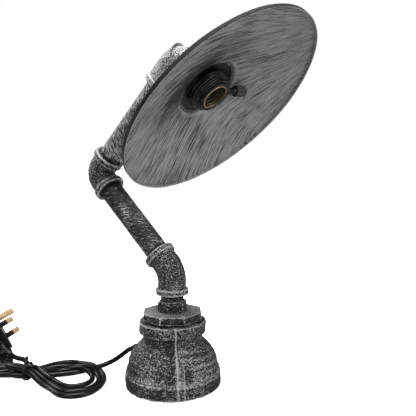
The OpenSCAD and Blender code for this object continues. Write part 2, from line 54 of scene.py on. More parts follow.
# sizes shared with the frame, in millimetres and degrees
ARM_AZIMUTH = -36.5
BEAD_R = 18.5
BEAD_W = 6.8
BODY_R = 16.0
MALE_R = 13.2
PIPE_R = 13.45
REACH_45 = 26.7
BEND_45 = 30.0
REACH_90 = 28.6
REACH_LONG = 41.0
BEND_90 = 14.0
BEND_TIGHT = 13.0
LOWER_RUN = 101.5
UPPER_RUN = 107.0
SHADE_BACK = 53.5
SHADE_AXIS = 47.0
COLLAR_TOP = 73.5
OCTAGON_Z = 75.7
HEX_Z = 84.4
HEX_TOP = 96.3
LOWER_C = np.array([0.0, 0.0, 130.1])
HALF = math.sqrt(0.5)
LOWER_DIR = np.array([-HALF, 0.0, HALF])
UPPER_DIR = np.array([HALF, 0.0, HALF])
OUTLET_DIR = np.array([HALF, 0.0, -HALF])
MIDDLE_C = LOWER_C + (REACH_45 + LOWER_RUN + REACH_90) * LOWER_DIR
UPPER_C = MIDDLE_C + (REACH_90 + UPPER_RUN + REACH_LONG) * UPPER_DIR
KNOB_TURN = 72.0
KNOB_LEAN = 12.0
KNOB_FOOT = (19.0, 24.6)
NECK_CUP_R = 34.2
HOLE_R = 5.3
SKIRT_PITCH = 2.0
BULB_PITCH = 3.62
PIPE_PITCH = 1.81
BUSHING_PITCH = 2.31

# looks and studio
FOCAL_PX = 506.3
MIDDLE_PX = 208.0
SLANT_ANGLE = 32.0
FLOOR_REACH = 6.0


# --------------------------------------------------------------------- frames

@dataclass(frozen=True)
class Pose:
    """A local frame, in millimetres in the row frame.

    Attributes:
        origin: Where the local origin lies.
        axes: Rows are the local x, y and z directions.
    """

    origin: np.ndarray
    axes: np.ndarray

    @classmethod
    def upright(cls, turn: float = 0.0) -> "Pose":
        """A frame that stands on end.

        Args:
            turn: Turn about the vertical, in degrees.

        Returns:
            The frame.
        """
        c, s = math.cos(math.radians(turn)), math.sin(math.radians(turn))
        return cls(np.zeros(3), np.array([[c, s, 0], [-s, c, 0], [0, 0, 1.0]]))

    def leaned(self, origin: Sequence[float], lean: float) -> "Pose":
        """A frame inside this one, turned about this frame's y.

        Args:
            origin: The new origin in this frame.
            lean: Turn about y, in degrees.

        Returns:
            The new frame.
        """
        c, s = math.cos(math.radians(lean)), math.sin(math.radians(lean))
        turn = np.array([[c, 0, -s], [0, 1, 0], [s, 0, c]])
        return Pose(self.origin + np.asarray(origin, float) @ self.axes, turn @ self.axes)

    def turned(self, turn: float) -> "Pose":
        """This frame turned about its own z.

        Args:
            turn: The turn, in degrees.

        Returns:
            The new frame.
        """
        c, s = math.cos(math.radians(turn)), math.sin(math.radians(turn))
        spin = np.array([[c, s, 0], [-s, c, 0], [0, 0, 1.0]])
        return Pose(self.origin, spin @ self.axes)

    def place(self, points: np.ndarray) -> np.ndarray:
        """Local points in millimetres as row-frame points in metres.

        Args:
            points: Array whose last axis is x, y, z.

        Returns:
            The placed points.
        """
        return (self.origin + np.asarray(points, float) @ self.axes) * MM


ARM = Pose.upright(ARM_AZIMUTH)
AT_LOWER_IN = ARM.leaned(LOWER_C, 0.0).turned(180.0)
AT_LOWER = ARM.leaned(LOWER_C, -45.0)
AT_MIDDLE_IN = ARM.leaned(MIDDLE_C, -45.0)
AT_MIDDLE = ARM.leaned(MIDDLE_C, 45.0)
AT_UPPER_IN = ARM.leaned(UPPER_C, 45.0)
RIM_C = UPPER_C + REACH_90 * OUTLET_DIR + SHADE_BACK * np.array(
    [math.cos(math.radians(SHADE_AXIS)), 0.0, -math.sin(math.radians(SHADE_AXIS))])
AT_SHADE = ARM.leaned(RIM_C, SHADE_AXIS - 90.0)
AT_SWITCH = AT_SHADE.turned(KNOB_TURN).leaned(
    (KNOB_FOOT[0], 0.0, KNOB_FOOT[1]), 90.0 + KNOB_LEAN)


# -------------------------------------------------------------------- outlines

def rounded(points: Sequence[Sequence[float]], radius: float = 0.6,
            steps: int = 5) -> np.ndarray:
    """An open outline with every inner corner rounded.

    Each corner is replaced by an arc of a quadratic curve that starts and ends
    radius away from it, or at 45 per cent of the shorter leg.

    Args:
        points: The outline's corners.
        radius: How far from a corner the rounding starts.
        steps: Spans in each arc.

    Returns:
        The rounded outline.
    """
    p = np.asarray(points, float)
    a, b, c = p[:-2], p[1:-1], p[2:]
    back, on = a - b, c - b
    lb = np.linalg.norm(back, axis=1, keepdims=True)
    lo = np.linalg.norm(on, axis=1, keepdims=True)
    reach = np.minimum(radius, 0.45 * np.minimum(lb, lo))
    s, e = b + back / lb * reach, b + on / lo * reach
    t = np.linspace(0, 1, steps + 1)[None, :, None]
    arc = (1 - t) ** 2 * s[:, None] + 2 * t * (1 - t) * b[:, None] + t ** 2 * e[:, None]
    return np.vstack([p[:1], arc.reshape(-1, p.shape[1]), p[-1:]])


def resampled(points: np.ndarray, step: float) -> np.ndarray:
    """An open outline with its long spans cut to about one step.

    Args:
        points: The outline.
        step: Longest span wanted.

    Returns:
        The outline with points added and none moved.
    """
    out = [points[:1]]
    for a, b in zip(points[:-1], points[1:]):
        n = max(1, int(math.ceil(np.linalg.norm(b - a) / step)))
        t = np.linspace(0, 1, n + 1)[1:, None]
        out.append(a + (b - a) * t)
    return np.vstack(out)


def edge_wear(outline: np.ndarray, spread: float = 0.9) -> np.ndarray:
    """How strongly each outline point lies on an outward corner, from 0 to 1.

    The outward turn at every point, in radians, is spread along the outline by
    a bell curve and scaled so that a right angle counts as 1.

    Args:
        outline: Points (r, z), with z rising along the outer wall.
        spread: Width of the bell curve in millimetres.

    Returns:
        One weight for each point.
    """
    d = np.diff(outline, axis=0)
    length = np.linalg.norm(d, axis=1)
    heading = np.unwrap(np.arctan2(d[:, 1], d[:, 0]))
    turn = np.zeros(len(outline))
    turn[1:-1] = np.clip(np.diff(heading), 0, None)
    at = np.concatenate([[0], np.cumsum(length)])
    near = np.exp(-((at[:, None] - at[None, :]) ** 2) / (2 * spread ** 2))
    return np.clip(near @ turn / (math.pi / 2), 0, 1)


@dataclass(frozen=True)
class Grain:
    """A repeatable bumpy field made of plane waves, for cast and pressed skins.

    Attributes:
        height: Half height of the bumps in millimetres.
        size: Typical length of a bump in millimetres.
        seed: Seed of the waves.
        waves: How many waves are summed.
    """

    height: float
    size: float
    seed: int = 7
    waves: int = 28

    def __call__(self, points: np.ndarray) -> np.ndarray:
        """The field's value at points, as a sum of cosines.

        Args:
            points: Array whose last axis is x, y, z in millimetres.

        Returns:
            The heights in millimetres.
        """
        rng = np.random.default_rng(self.seed)
        way = rng.normal(size=(self.waves, 3))
        way /= np.linalg.norm(way, axis=1, keepdims=True)
        k = way * (2 * math.pi / (self.size * rng.uniform(0.6, 2.2, (self.waves, 1))))
        phase = rng.uniform(0, 2 * math.pi, self.waves)
        return self.height * np.cos(points @ k.T + phase).sum(-1) / math.sqrt(self.waves / 2)


# --------------------------------------------------------------------- meshes

@dataclass
class Skin:
    """A grid of points wrapped once round, ready to become a closed mesh.

    Attributes:
        rings: Points (rings, round, 3) in row-frame metres.
        along: Arc length of each ring in millimetres.
        girth: Circumference used for the texture's u, in millimetres.
        wear: Worn weight of each ring, or of each point, with painted shade and painted light
            mixed in on some pieces.
        joined: Joins the last ring to the first, as in a ring of any section.
        brush: Two lengths for each point, along and across the brush's way.
    """

    rings: np.ndarray
    along: np.ndarray
    girth: float
    wear: np.ndarray
    joined: bool = False
    brush: np.ndarray | None = None

    def build(self, name: str, sharp: float = 40.0) -> bpy.types.Object:
        """Makes the mesh object with its texture map and wear attribute.

        Args:
            name: The piece's name.
            sharp: Edges that fold more than this, in degrees, stay sharp.

        Returns:
            The new object, linked to the scene.
        """
        n, m, _ = self.rings.shape
        i = np.arange(n if self.joined else n - 1)[:, None]
        j = np.arange(m)[None, :]
        i2, j2 = (i + 1) % n, (j + 1) % m
        a, b, c, d = i * m + j, i * m + j2, i2 * m + j2, i2 * m + j
        quads = np.stack([a + 0 * b, b, c, d + 0 * b], -1).reshape(-1, 4)
        u = np.stack([j + 0 * i, j + 1 + 0 * i, j + 1 + 0 * i, j + 0 * i], -1) * (self.girth / m)
        ends = np.append(self.along, self.along[-1] + 1.0)
        v = np.stack([ends[i] + 0 * j, ends[i] + 0 * j, ends[i + 1] + 0 * j,
                      ends[i + 1] + 0 * j], -1)
        uv = np.stack([u, v], -1).reshape(-1, 4, 2)
        faces = quads.tolist()
        loops = [uv.reshape(-1, 2)]
        if not self.joined:
            first, last = np.arange(m), np.arange(m) + (n - 1) * m
            for cap, at in ((first[::-1], self.along[0]), (last, self.along[-1])):
                faces.append(cap.tolist())
                loops.append(np.stack([(cap % m) * (self.girth / m), np.full(m, at)], -1))
        mesh = bpy.data.meshes.new(name)
        mesh.from_pydata(self.rings.reshape(-1, 3).tolist(), [], faces)
        layer = mesh.uv_layers.new(name="UVMap")
        layer.data.foreach_set("uv", np.concatenate(loops).astype(np.float32).ravel())
        wear = mesh.attributes.new("wear", "FLOAT", "POINT")
        worn = np.broadcast_to(self.wear if np.ndim(self.wear) == 2 else
                               np.asarray(self.wear)[:, None], (n, m))
        wear.data.foreach_set("value", np.ascontiguousarray(worn, np.float32).ravel())
        if self.brush is not None:
            way = mesh.attributes.new("brush", "FLOAT_VECTOR", "POINT")
            flat = np.concatenate([self.brush, np.zeros((n, m, 1))], -1)
            way.data.foreach_set("vector", flat.astype(np.float32).ravel())
        mesh.shade_smooth()
        mesh.set_sharp_from_angle(angle=math.radians(sharp))
        mesh.validate()
        piece = bpy.data.objects.new(name, mesh)
        bpy.context.scene.collection.objects.link(piece)
        return piece


def lathe(name: str, outline: np.ndarray, pose: Pose, around: int = 128,
          grain: Grain | None = None, shape: Callable | None = None,
          joined: bool = False, sharp: float = 40.0, wear: Callable | None = None,
          brush: Callable | None = None, turns: np.ndarray | None = None
          ) -> bpy.types.Object:
    """Turns an outline of (r, z) about the local z axis.

    A point at angle t lies at (r cos t, r sin t, z). The grain moves it along
    the outline's own normal, and shape may move it further.

    Args:
        name: The piece's name.
        outline: Points (r, z) that go up the outside, from axis to axis, or
            all the way round when joined.
        pose: Where the local frame lies.
        around: Points in a turn.
        grain: Bumps added to the skin.
        shape: Function of (r, t, z) arrays that returns new (r, t, z).
        joined: The outline closes on itself.
        sharp: Edges that fold more than this, in degrees, stay sharp.
        wear: Function of (r, t, z, corner wear) that returns the worn weights.
        brush: Function of local points that returns the brush's two lengths.
        turns: Angles of the points in a turn, in radians, if not even.

    Returns:
        The piece.
    """
    o = np.asarray(outline, float)
    step = np.linalg.norm(np.diff(o, axis=0), axis=1)
    along = np.concatenate([[0], np.cumsum(step)])
    tangent = np.gradient(o, axis=0)
    if joined:
        tangent = np.roll(o, -1, 0) - np.roll(o, 1, 0)
    tangent /= np.maximum(np.linalg.norm(tangent, axis=1, keepdims=True), 1e-9)
    normal = np.stack([tangent[:, 1], -tangent[:, 0]], 1)
    t = np.linspace(0, 2 * math.pi, around, endpoint=False) if turns is None else turns
    t = t[None, :]
    r, z = o[:, :1] + 0 * t, o[:, 1:] + 0 * t
    t = t + 0 * r
    worn = edge_wear(o)
    if wear is not None:
        worn = wear(r, t, z, worn[:, None] + 0 * t)
    if shape is not None:
        r, t, z = shape(r, t, z)
    if grain is not None:
        at = np.stack([r * np.cos(t), r * np.sin(t), z], -1)
        lift = grain(at + pose.origin)
        lift = lift * np.clip(r / 6.0, 0, 1)
        r, z = r + normal[:, :1] * lift, z + normal[:, 1:] * lift
    local = np.stack([r * np.cos(t), r * np.sin(t), z], -1)
    skin = Skin(pose.place(local), along, 2 * math.pi * max(float(o[:, 0].max()), 1.0),
                worn, joined=joined, brush=None if brush is None else brush(local))
    return skin.build(name, sharp)


def polygon_ring(sides: int, across: float, corner: float, around: int) -> np.ndarray:
    """A regular polygon with rounded corners, flats square to the axes.

    In each sector the radius is that of the flat, cut short near the corner by
    a circle of the corner's radius; the two meet smoothly.

    Args:
        sides: Number of flats.
        across: Size across the flats.
        corner: Radius of the corners.
        around: Points in the ring.

    Returns:
        Points (around, 2).
    """
    t = np.linspace(0, 2 * math.pi, around, endpoint=False)
    sector = 2 * math.pi / sides
    s = (t + sector / 2) % sector - sector / 2
    flat = across / 2
    reach = (flat - corner) / math.cos(sector / 2)
    off = np.abs(np.abs(s) - sector / 2)
    edge = corner * math.tan(sector / 2) / max(flat, 1e-6)
    inside = np.clip(corner ** 2 - (reach * np.sin(off)) ** 2, 0, None)
    arc = reach * np.cos(off) + np.sqrt(inside)
    near = off < math.atan(edge)
    r = np.where(near, np.minimum(arc, flat / np.cos(s)), flat / np.cos(s))
    return np.stack([r * np.cos(t), r * np.sin(t)], -1)


def nut(name: str, sides: int, levels: Sequence[Sequence[float]], pose: Pose,
        corner: float = 0.8, around: int = 192, grain: Grain | None = None,
        shine: float = 1.0, crown: float = 0.0, flank: float = 0.0) -> bpy.types.Object:
    """A polygonal collar built up from levels of (size across flats, z, blend).

    Between blend 0 and 1 a level goes from the polygon to the circle that has
    the polygon's size, so a turned crown can cut the corners off.

    Args:
        name: The piece's name.
        sides: Number of flats.
        levels: Rows of (across, z, round part) going up.
        pose: Where the local frame lies.
        corner: Radius of the upright edges.
        around: Points in a turn.
        grain: Bumps added to the skin.
        shine: How bright the corners are rubbed.
        crown: Painted light added to the face on top.
        flank: Painted shade put on the upright flats.

    Returns:
        The piece.
    """
    rows = resampled(rounded(levels, 0.5, 4), 1.2)
    t = np.linspace(0, 2 * math.pi, around, endpoint=False)
    ring = polygon_ring(sides, 1.0, corner / rows[:, 0].max(), around)
    circle = np.stack([np.cos(t), np.sin(t)], -1) * 0.5
    blend = rows[:, 2][:, None, None]
    flat = rows[:, 0][:, None, None] * (ring[None] * (1 - blend) + circle[None] * blend)
    z = np.broadcast_to(rows[:, 1][:, None, None], flat.shape[:2] + (1,))
    points = np.concatenate([flat, z], -1)
    radial = points[..., :2] / np.maximum(np.linalg.norm(points[..., :2], axis=-1,
                                                         keepdims=True), 1e-6)
    if grain is not None:
        lift = grain(points + pose.origin)[..., None]
        lift = lift * np.clip(np.linalg.norm(points[..., :2], axis=-1, keepdims=True) / 8, 0, 1)
        points[..., :2] += radial * lift
    outline = np.stack([rows[:, 0] / 2, rows[:, 1]], -1)
    along = np.concatenate([[0], np.cumsum(np.linalg.norm(np.diff(outline, axis=0), axis=1))])
    upright = np.exp(-((np.abs((t + math.pi / sides) % (2 * math.pi / sides)
                               ) * rows[:, 0].max() / 2) / 0.7) ** 2)
    upright = np.maximum(upright, upright[::-1])
    wear = np.clip(edge_wear(outline, 0.4)[:, None] + 0.9 * upright[None, :]
                   * (rows[:, 2] < 0.5)[:, None], 0, 1) * shine
    # crown paints light on the octagon's top face, and flank paints shade on the upright flats
    on_top = (rows[:, 1] > rows[:, 1].max() - 0.1) & (rows[:, 0] > 33)
    on_flat = (rows[:, 2] < 0.5) & (rows[:, 1] < rows[:, 1].max() - 0.6)
    wear = wear + (crown * on_top - flank * on_flat)[:, None]
    skin = Skin(pose.place(points), along, math.pi * rows[:, 0].max(), wear)
    return skin.build(name, 30.0)


# ------------------------------------------------------------------- finishes

class Tree:
    """A short way to write a material's nodes."""

    def __init__(self, name: str) -> None:
        """Starts an empty material.

        Args:
            name: The material's name.
        """
        self.material = bpy.data.materials.new(name)
        self.material.use_nodes = True
        self.nodes = self.material.node_tree.nodes
        self.links = self.material.node_tree.links
        self.nodes.clear()

    def add(self, kind: str, inputs: dict | None = None,
            **settings: object) -> bpy.types.Node:
        """Adds one node.

        Args:
            kind: Node type without the ShaderNode prefix.
            inputs: Values or sockets for its inputs, by name or index.
            **settings: Properties set on the node.

        Returns:
            The node.
        """
        node = self.nodes.new("ShaderNode" + kind)
        for key, value in settings.items():
            setattr(node, key, value)
        for key, value in (inputs or {}).items():
            if isinstance(value, bpy.types.NodeSocket):
                self.links.new(value, node.inputs[key])
            else:
                node.inputs[key].default_value = value
        return node

    def maths(self, operation: str, a: object, b: object = 0.0) -> bpy.types.NodeSocket:
        """A maths node's result.

        Args:
            operation: The node's operation.
            a: First value or socket.
            b: Second value or socket.

        Returns:
            The output socket.
        """
        return self.add("Math", {0: a, 1: b}, operation=operation).outputs[0]

    def noise(self, vector: object, scale: float, detail: float = 4.0,
              rough: float = 0.6, warp: float = 0.0) -> bpy.types.NodeSocket:
        """A noise texture's value.

        Args:
            vector: Where it is read.
            scale: Bumps to a unit.
            detail: Octaves.
            rough: How strong the fine octaves are.
            warp: Distortion.

        Returns:
            The output socket.
        """
        return self.add("TexNoise", {"Vector": vector, "Scale": scale, "Detail": detail,
                                     "Roughness": rough, "Distortion": warp}).outputs[0]

    def ramp(self, value: object, low: float, high: float, bottom: float = 0.0,
             top: float = 1.0) -> bpy.types.NodeSocket:
        """A value remapped smoothly between two limits.

        Args:
            value: The socket to remap.
            low: Input that gives bottom.
            high: Input that gives top.
            bottom: Lowest output.
            top: Highest output.

        Returns:
            The output socket.
        """
        return self.add("MapRange", {0: value, 1: low, 2: high, 3: bottom, 4: top},
                        interpolation_type="SMOOTHSTEP").outputs[0]

    def mix(self, factor: object, a: object, b: object) -> bpy.types.NodeSocket:
        """A mix of two colours.

        Args:
            factor: How much of b.
            a: First colour.
            b: Second colour.

        Returns:
            The output socket.
        """
        node = self.add("Mix", {0: factor}, data_type="RGBA")
        for index, value in ((6, a), (7, b)):
            if isinstance(value, bpy.types.NodeSocket):
                self.links.new(value, node.inputs[index])
            else:
                node.inputs[index].default_value = (*value, 1.0)
        return node.outputs[2]

    def finish(self, shader: object) -> bpy.types.Material:
        """Joins the shader to the output.

        Args:
            shader: The shader's output socket.

        Returns:
            The material.
        """
        self.add("OutputMaterial", {"Surface": shader})
        return self.material


class Stroke(Enum):
    """The way the dry brush went over a piece."""

    ROUND = "round the axis"
    SLANT = "across the pipe at a slant"
    FAN = "by the piece's own brush map"
    NONE = "dabbed with no direction"


@dataclass(frozen=True)
class BrushedPaint:
    """Black paint with silver dragged over it by a nearly dry brush.

    Attributes:
        name: The material's name.
        stroke: The brush's way.
        dark: Colour of the ground coat.
        silver: Colour of the brushed coat.
        cover: Share of the skin that is silver, 0 to 1.
        length: Length of a stroke in millimetres.
        width: Width of a bristle's track in millimetres.
        speckle: Strength of the sandy grain, 0 to 1.
        grain_size: Size of the sandy grain in millimetres.
        edge: How strongly corners are rubbed bright.
        gloss: Roughness of the silver.
        relief: Depth of the bump.
        patches: How far broad areas differ in cover.
        soft: Half width of the step from black to silver.
        metal: How metallic the silver is.
        stray: Angle between the two layers of streaks, in degrees.
    """

    name: str
    stroke: Stroke = Stroke.ROUND
    dark: tuple = (0.006, 0.006, 0.006)
    silver: tuple = (0.42, 0.42, 0.42)
    cover: float = 0.5
    length: float = 26.0
    width: float = 0.55
    speckle: float = 0.5
    grain_size: float = 0.8
    edge: float = 1.0
    gloss: float = 0.5
    relief: float = 0.25
    patches: float = 2.2
    soft: float = 0.7
    metal: float = 0.2
    stray: float = 5.0

    @staticmethod
    def weigh(t: Tree, parts: Sequence[tuple]) -> object:
        """Adds noises about their middle, each with its own strength.

        Args:
            t: The material's nodes.
            parts: Pairs of (noise socket, strength).

        Returns:
            The sum's socket, about zero on average.
        """
        total: object = 0.0
        for noise, strength in parts:
            centred = t.maths("MULTIPLY", t.maths("SUBTRACT", noise, 0.5), strength)
            total = t.maths("ADD", centred, total)
        return total

    def build(self) -> bpy.types.Material:
        """Makes the material.

        Two layers of long thin noise, read from the piece's own map so that
        they follow the stroke, give the streaks; a fine noise in object space
        breaks them into grain, a broad one makes some areas fuller, and the
        wear attribute lifts the corners and also carries painted shade and painted
        light, which darkens some areas and lightens others.

        Returns:
            The material.
        """
        t = Tree(self.name)
        uv = t.add("UVMap", uv_map="UVMap").outputs[0]
        if self.stroke is Stroke.FAN:
            uv = t.add("Attribute", attribute_name="brush").outputs["Vector"]
        body = t.add("TexCoord").outputs["Object"]
        wear = t.add("Attribute", attribute_name="wear").outputs["Fac"]
        turn = SLANT_ANGLE if self.stroke is Stroke.SLANT else 0.0
        stretch = 1.0 if self.stroke is Stroke.NONE else self.length / self.width / 6
        layers = []
        for seed, (bias, thin) in enumerate(((0.0, 1.0), (self.stray, 0.42))):
            lane = t.add("VectorRotate", {"Vector": uv, "Angle": math.radians(turn + bias)},
                         rotation_type="Z_AXIS").outputs[0]
            drift = t.add("Mapping", {"Vector": lane, "Location": (seed * 31.7, seed * 12.3, seed),
                                      "Scale": (1 / (self.width * stretch * thin),
                                                1 / (self.width * thin * 2.2), 1.0)})
            layers.append(t.noise(drift.outputs[0], 1.0, 3.0, 0.6, 0.25))
        grain = t.noise(body, 1000.0 / self.grain_size / 2.2, 2.0, 0.6)
        broad = t.noise(body, 22.0, 3.0, 0.55, 0.4)
        mass = self.weigh(t, ((layers[0], 6.5 * (1 - self.speckle)),
                              (layers[1], 5.5 * (1 - 0.6 * self.speckle)),
                              (grain, 9.0 * self.speckle), (broad, self.patches)))
        # the wear attribute holds real corner wear together with painted shade and painted light
        mass = t.maths("ADD", mass, t.maths("MULTIPLY", wear, self.edge))
        centre = (0.5 - self.cover) * 2.6
        mask = t.ramp(mass, centre - self.soft, centre + self.soft)
        tone = t.ramp(layers[1], 0.3, 0.7, 0.55, 1.0)
        silver = t.mix(tone, tuple(c * 0.5 for c in self.silver), self.silver)
        soot = t.mix(t.ramp(grain, 0.35, 0.65), self.dark, tuple(c * 2.2 for c in self.dark))
        colour = t.mix(mask, soot, silver)
        bump = t.add("Bump", {"Strength": self.relief, "Distance": 0.0004,
                              "Height": mask}).outputs[0]
        shader = t.add("BsdfPrincipled", {
            "Base Color": colour, "Metallic": t.maths("MULTIPLY", mask, self.metal),
            "Roughness": t.ramp(mask, 0.0, 1.0, 0.6, self.gloss),
            "Specular IOR Level": 0.3, "Normal": bump})
        return t.finish(shader.outputs[0])


@dataclass(frozen=True)
class Moulding:
    """Moulded plastic or rubber with a fine grain and faint handling marks.

    Attributes:
        name: The material's name.
        colour: Base colour.
        rough: Mean roughness.
        grain: Depth of the grain's bump.
        size: Size of the grain in millimetres.
        shine: Strength of the reflection.
        rim: Colour of the painted highlights on crests and corners, if they differ.
    """

    name: str
    colour: tuple = (0.012, 0.012, 0.013)
    rough: float = 0.38
    grain: float = 0.12
    size: float = 0.35
    shine: float = 0.5
    rim: tuple | None = None

    def build(self) -> bpy.types.Material:
        """Makes the material: two noises vary colour, roughness and bump.

        Returns:
            The material.
        """
        t = Tree(self.name)
        body = t.add("TexCoord").outputs["Object"]
        fine = t.noise(body, 1000.0 / self.size / 2.2, 3.0, 0.6)
        broad = t.noise(body, 60.0, 4.0, 0.6, 0.6)
        colour = t.mix(t.ramp(broad, 0.3, 0.7), self.colour,
                       tuple(min(1.0, c * 1.7 + 0.002) for c in self.colour))
        # painted highlights: crests and corners take the rim colour
        if self.rim is not None:
            wear = t.add("Attribute", attribute_name="wear").outputs["Fac"]
            patchy = t.maths("MULTIPLY", wear, t.ramp(broad, 0.35, 0.6, 0.35, 1.0))
            colour = t.mix(t.ramp(patchy, 0.35, 0.95), colour, self.rim)
        rough = t.ramp(broad, 0.3, 0.7, max(0.05, self.rough - 0.07), self.rough + 0.1)
        bump = t.add("Bump", {"Strength": self.grain, "Distance": 0.0002,
                              "Height": fine}).outputs[0]
        shader = t.add("BsdfPrincipled", {"Base Color": colour, "Roughness": rough,
                                          "Specular IOR Level": self.shine, "Normal": bump})
        return t.finish(shader.outputs[0])


@dataclass(frozen=True)
class BareMetal:
    """Plain metal with scratches and a slight tarnish.

    Attributes:
        name: The material's name.
        colour: Base colour.
        tarnish: Colour of the duller patches.
        rough: Mean roughness.
        rim: Colour of the painted highlights on corners, if they differ.
    """

    name: str
    colour: tuple = (0.78, 0.58, 0.32)
    tarnish: tuple = (0.42, 0.28, 0.13)
    rough: float = 0.3
    rim: tuple | None = None

    def build(self) -> bpy.types.Material:
        """Makes the material: broad noise for tarnish, stretched noise for scratches.

        Returns:
            The material.
        """
        t = Tree(self.name)
        body = t.add("TexCoord").outputs["Object"]
        lines = t.add("Mapping", {"Vector": body, "Scale": (400.0, 3000.0, 3000.0)})
        scratch = t.noise(lines.outputs[0], 1.0, 4.0, 0.6)
        patch = t.noise(body, 220.0, 4.0, 0.6, 0.5)
        colour = t.mix(t.ramp(patch, 0.42, 0.72), self.colour, self.tarnish)
        # painted highlights: corners take the rim colour
        if self.rim is not None:
            wear = t.add("Attribute", attribute_name="wear").outputs["Fac"]
            colour = t.mix(t.ramp(wear, 0.15, 0.6), colour, self.rim)
        rough = t.maths("ADD", t.ramp(scratch, 0.3, 0.7, self.rough - 0.08, self.rough + 0.1),
                        t.ramp(patch, 0.42, 0.72, 0.0, 0.15))
        bump = t.add("Bump", {"Strength": 0.12, "Distance": 0.0001, "Height": scratch}).outputs[0]
        shader = t.add("BsdfPrincipled", {"Base Color": colour, "Metallic": 1.0,
                                          "Roughness": rough, "Normal": bump})
        return t.finish(shader.outputs[0])


@dataclass(frozen=True)
class Chalky:
    """Unglazed ceramic, paper and the like.

    Attributes:
        name: The material's name.
        colour: Base colour.
    """

    name: str
    colour: tuple = (0.72, 0.69, 0.62)

    def build(self) -> bpy.types.Material:
        """Makes the material: speckle in the colour and a dry surface.

        Returns:
            The material.
        """
        t = Tree(self.name)
        body = t.add("TexCoord").outputs["Object"]
        fleck = t.noise(body, 900.0, 5.0, 0.7)
        colour = t.mix(t.ramp(fleck, 0.45, 0.75), self.colour, tuple(c * 0.7 for c in self.colour))
        bump = t.add("Bump", {"Strength": 0.2, "Distance": 0.0002, "Height": fleck}).outputs[0]
        shader = t.add("BsdfPrincipled", {"Base Color": colour, "Roughness": 0.75,
                                          "Normal": bump})
        return t.finish(shader.outputs[0])


class Finishes:
    """All finishes of the lamp, each made once, by material slot."""

    def __init__(self) -> None:
        """Builds every finish."""
        self.by_slot = {f.name: f.build() for f in (
            BrushedPaint("foot_iron", Stroke.ROUND, cover=0.285, length=34, width=0.8,
                         speckle=0.62, grain_size=0.75, edge=1.2, relief=0.6, soft=0.95,
                         dark=(0.003, 0.003, 0.003), silver=(0.52, 0.52, 0.52)),
            BrushedPaint("fitting_iron", Stroke.NONE, cover=0.19, length=2, width=0.8,
                         speckle=0.8, grain_size=0.65, edge=1.5, relief=0.6, soft=0.95,
                         dark=(0.003, 0.003, 0.003), silver=(0.50, 0.50, 0.50)),
            BrushedPaint("pipe_paint", Stroke.SLANT, cover=0.30, length=60, width=0.75, soft=0.85,
                         dark=(0.003, 0.003, 0.003), silver=(0.48, 0.48, 0.48),
                         speckle=0.18, grain_size=0.7, edge=0.8, relief=0.3, patches=3.0),
            BrushedPaint("shade_paint", Stroke.FAN, cover=0.60, length=260, width=0.62,
                         speckle=0.10, grain_size=0.7, edge=1.0, relief=0.2,
                         silver=(0.35, 0.35, 0.35), dark=(0.003, 0.003, 0.003), soft=1.05,
                         patches=1.5, stray=2.0),
            # rim paints highlights on the crests and corners of the black plastic
            Moulding("black_plastic", colour=(0.0012, 0.0012, 0.0013), rough=0.36, shine=0.16,
                     rim=(0.16, 0.16, 0.16)),
            Moulding("knob_plastic", colour=(0.010, 0.010, 0.010), rough=0.4),
            Moulding("cord_cover", colour=(0.0012, 0.0021, 0.0018), rough=0.3, size=0.5,
                     shine=0.22),
            Moulding("plug_plastic", colour=(0.002, 0.0025, 0.0022), rough=0.4, shine=0.25),
            Moulding("tie_plastic", colour=(0.001, 0.001, 0.001), rough=0.45, shine=0.15),
            Moulding("foot_pad", colour=(0.02, 0.02, 0.02), rough=0.85, grain=0.4),
            Moulding("wire_cover", colour=(0.05, 0.22, 0.04), rough=0.4),
            # painted shade: brass darkened to stand for brass in the socket's shade; rim paints
            # highlights on its corners
            BareMetal("brass_parts", (0.16, 0.13, 0.09), (0.07, 0.055, 0.035), 0.42,
                      (0.62, 0.52, 0.36)),
            BareMetal("pin_brass", (0.76, 0.56, 0.33), (0.5, 0.34, 0.18), 0.3),
            BareMetal("plain_steel", (0.5, 0.5, 0.51), (0.25, 0.25, 0.26), 0.35),
            Chalky("holder_ceramic"))}

    def coat(self, piece: bpy.types.Object, slot: str) -> None:
        """Gives a piece its finish.

        Args:
            piece: The mesh or curve.
            slot: The record's material slot.
        """
        piece.data.materials.clear()
        piece.data.materials.append(self.by_slot[slot])


def settle(piece: bpy.types.Object, body: str, nodes: Sequence[str], finishes: Finishes,
           slot: str) -> bpy.types.Object:
    """Finishes a piece, lets it ride its body and stand for its frame nodes.

    Args:
        piece: The finished mesh or curve.
        body: The frame body that carries it.
        nodes: Frame nodes that it stands for.
        finishes: The lamp's finishes.
        slot: Its material slot.

    Returns:
        The piece.
    """
    finishes.coat(piece, slot)
    if nodes:
        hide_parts(*nodes)
    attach(piece, body)
    LOG.info("piece %s on %s for %s", piece.name, body, ", ".join(nodes) or "nothing")
    return piece


# ----------------------------------------------------------------------- foot

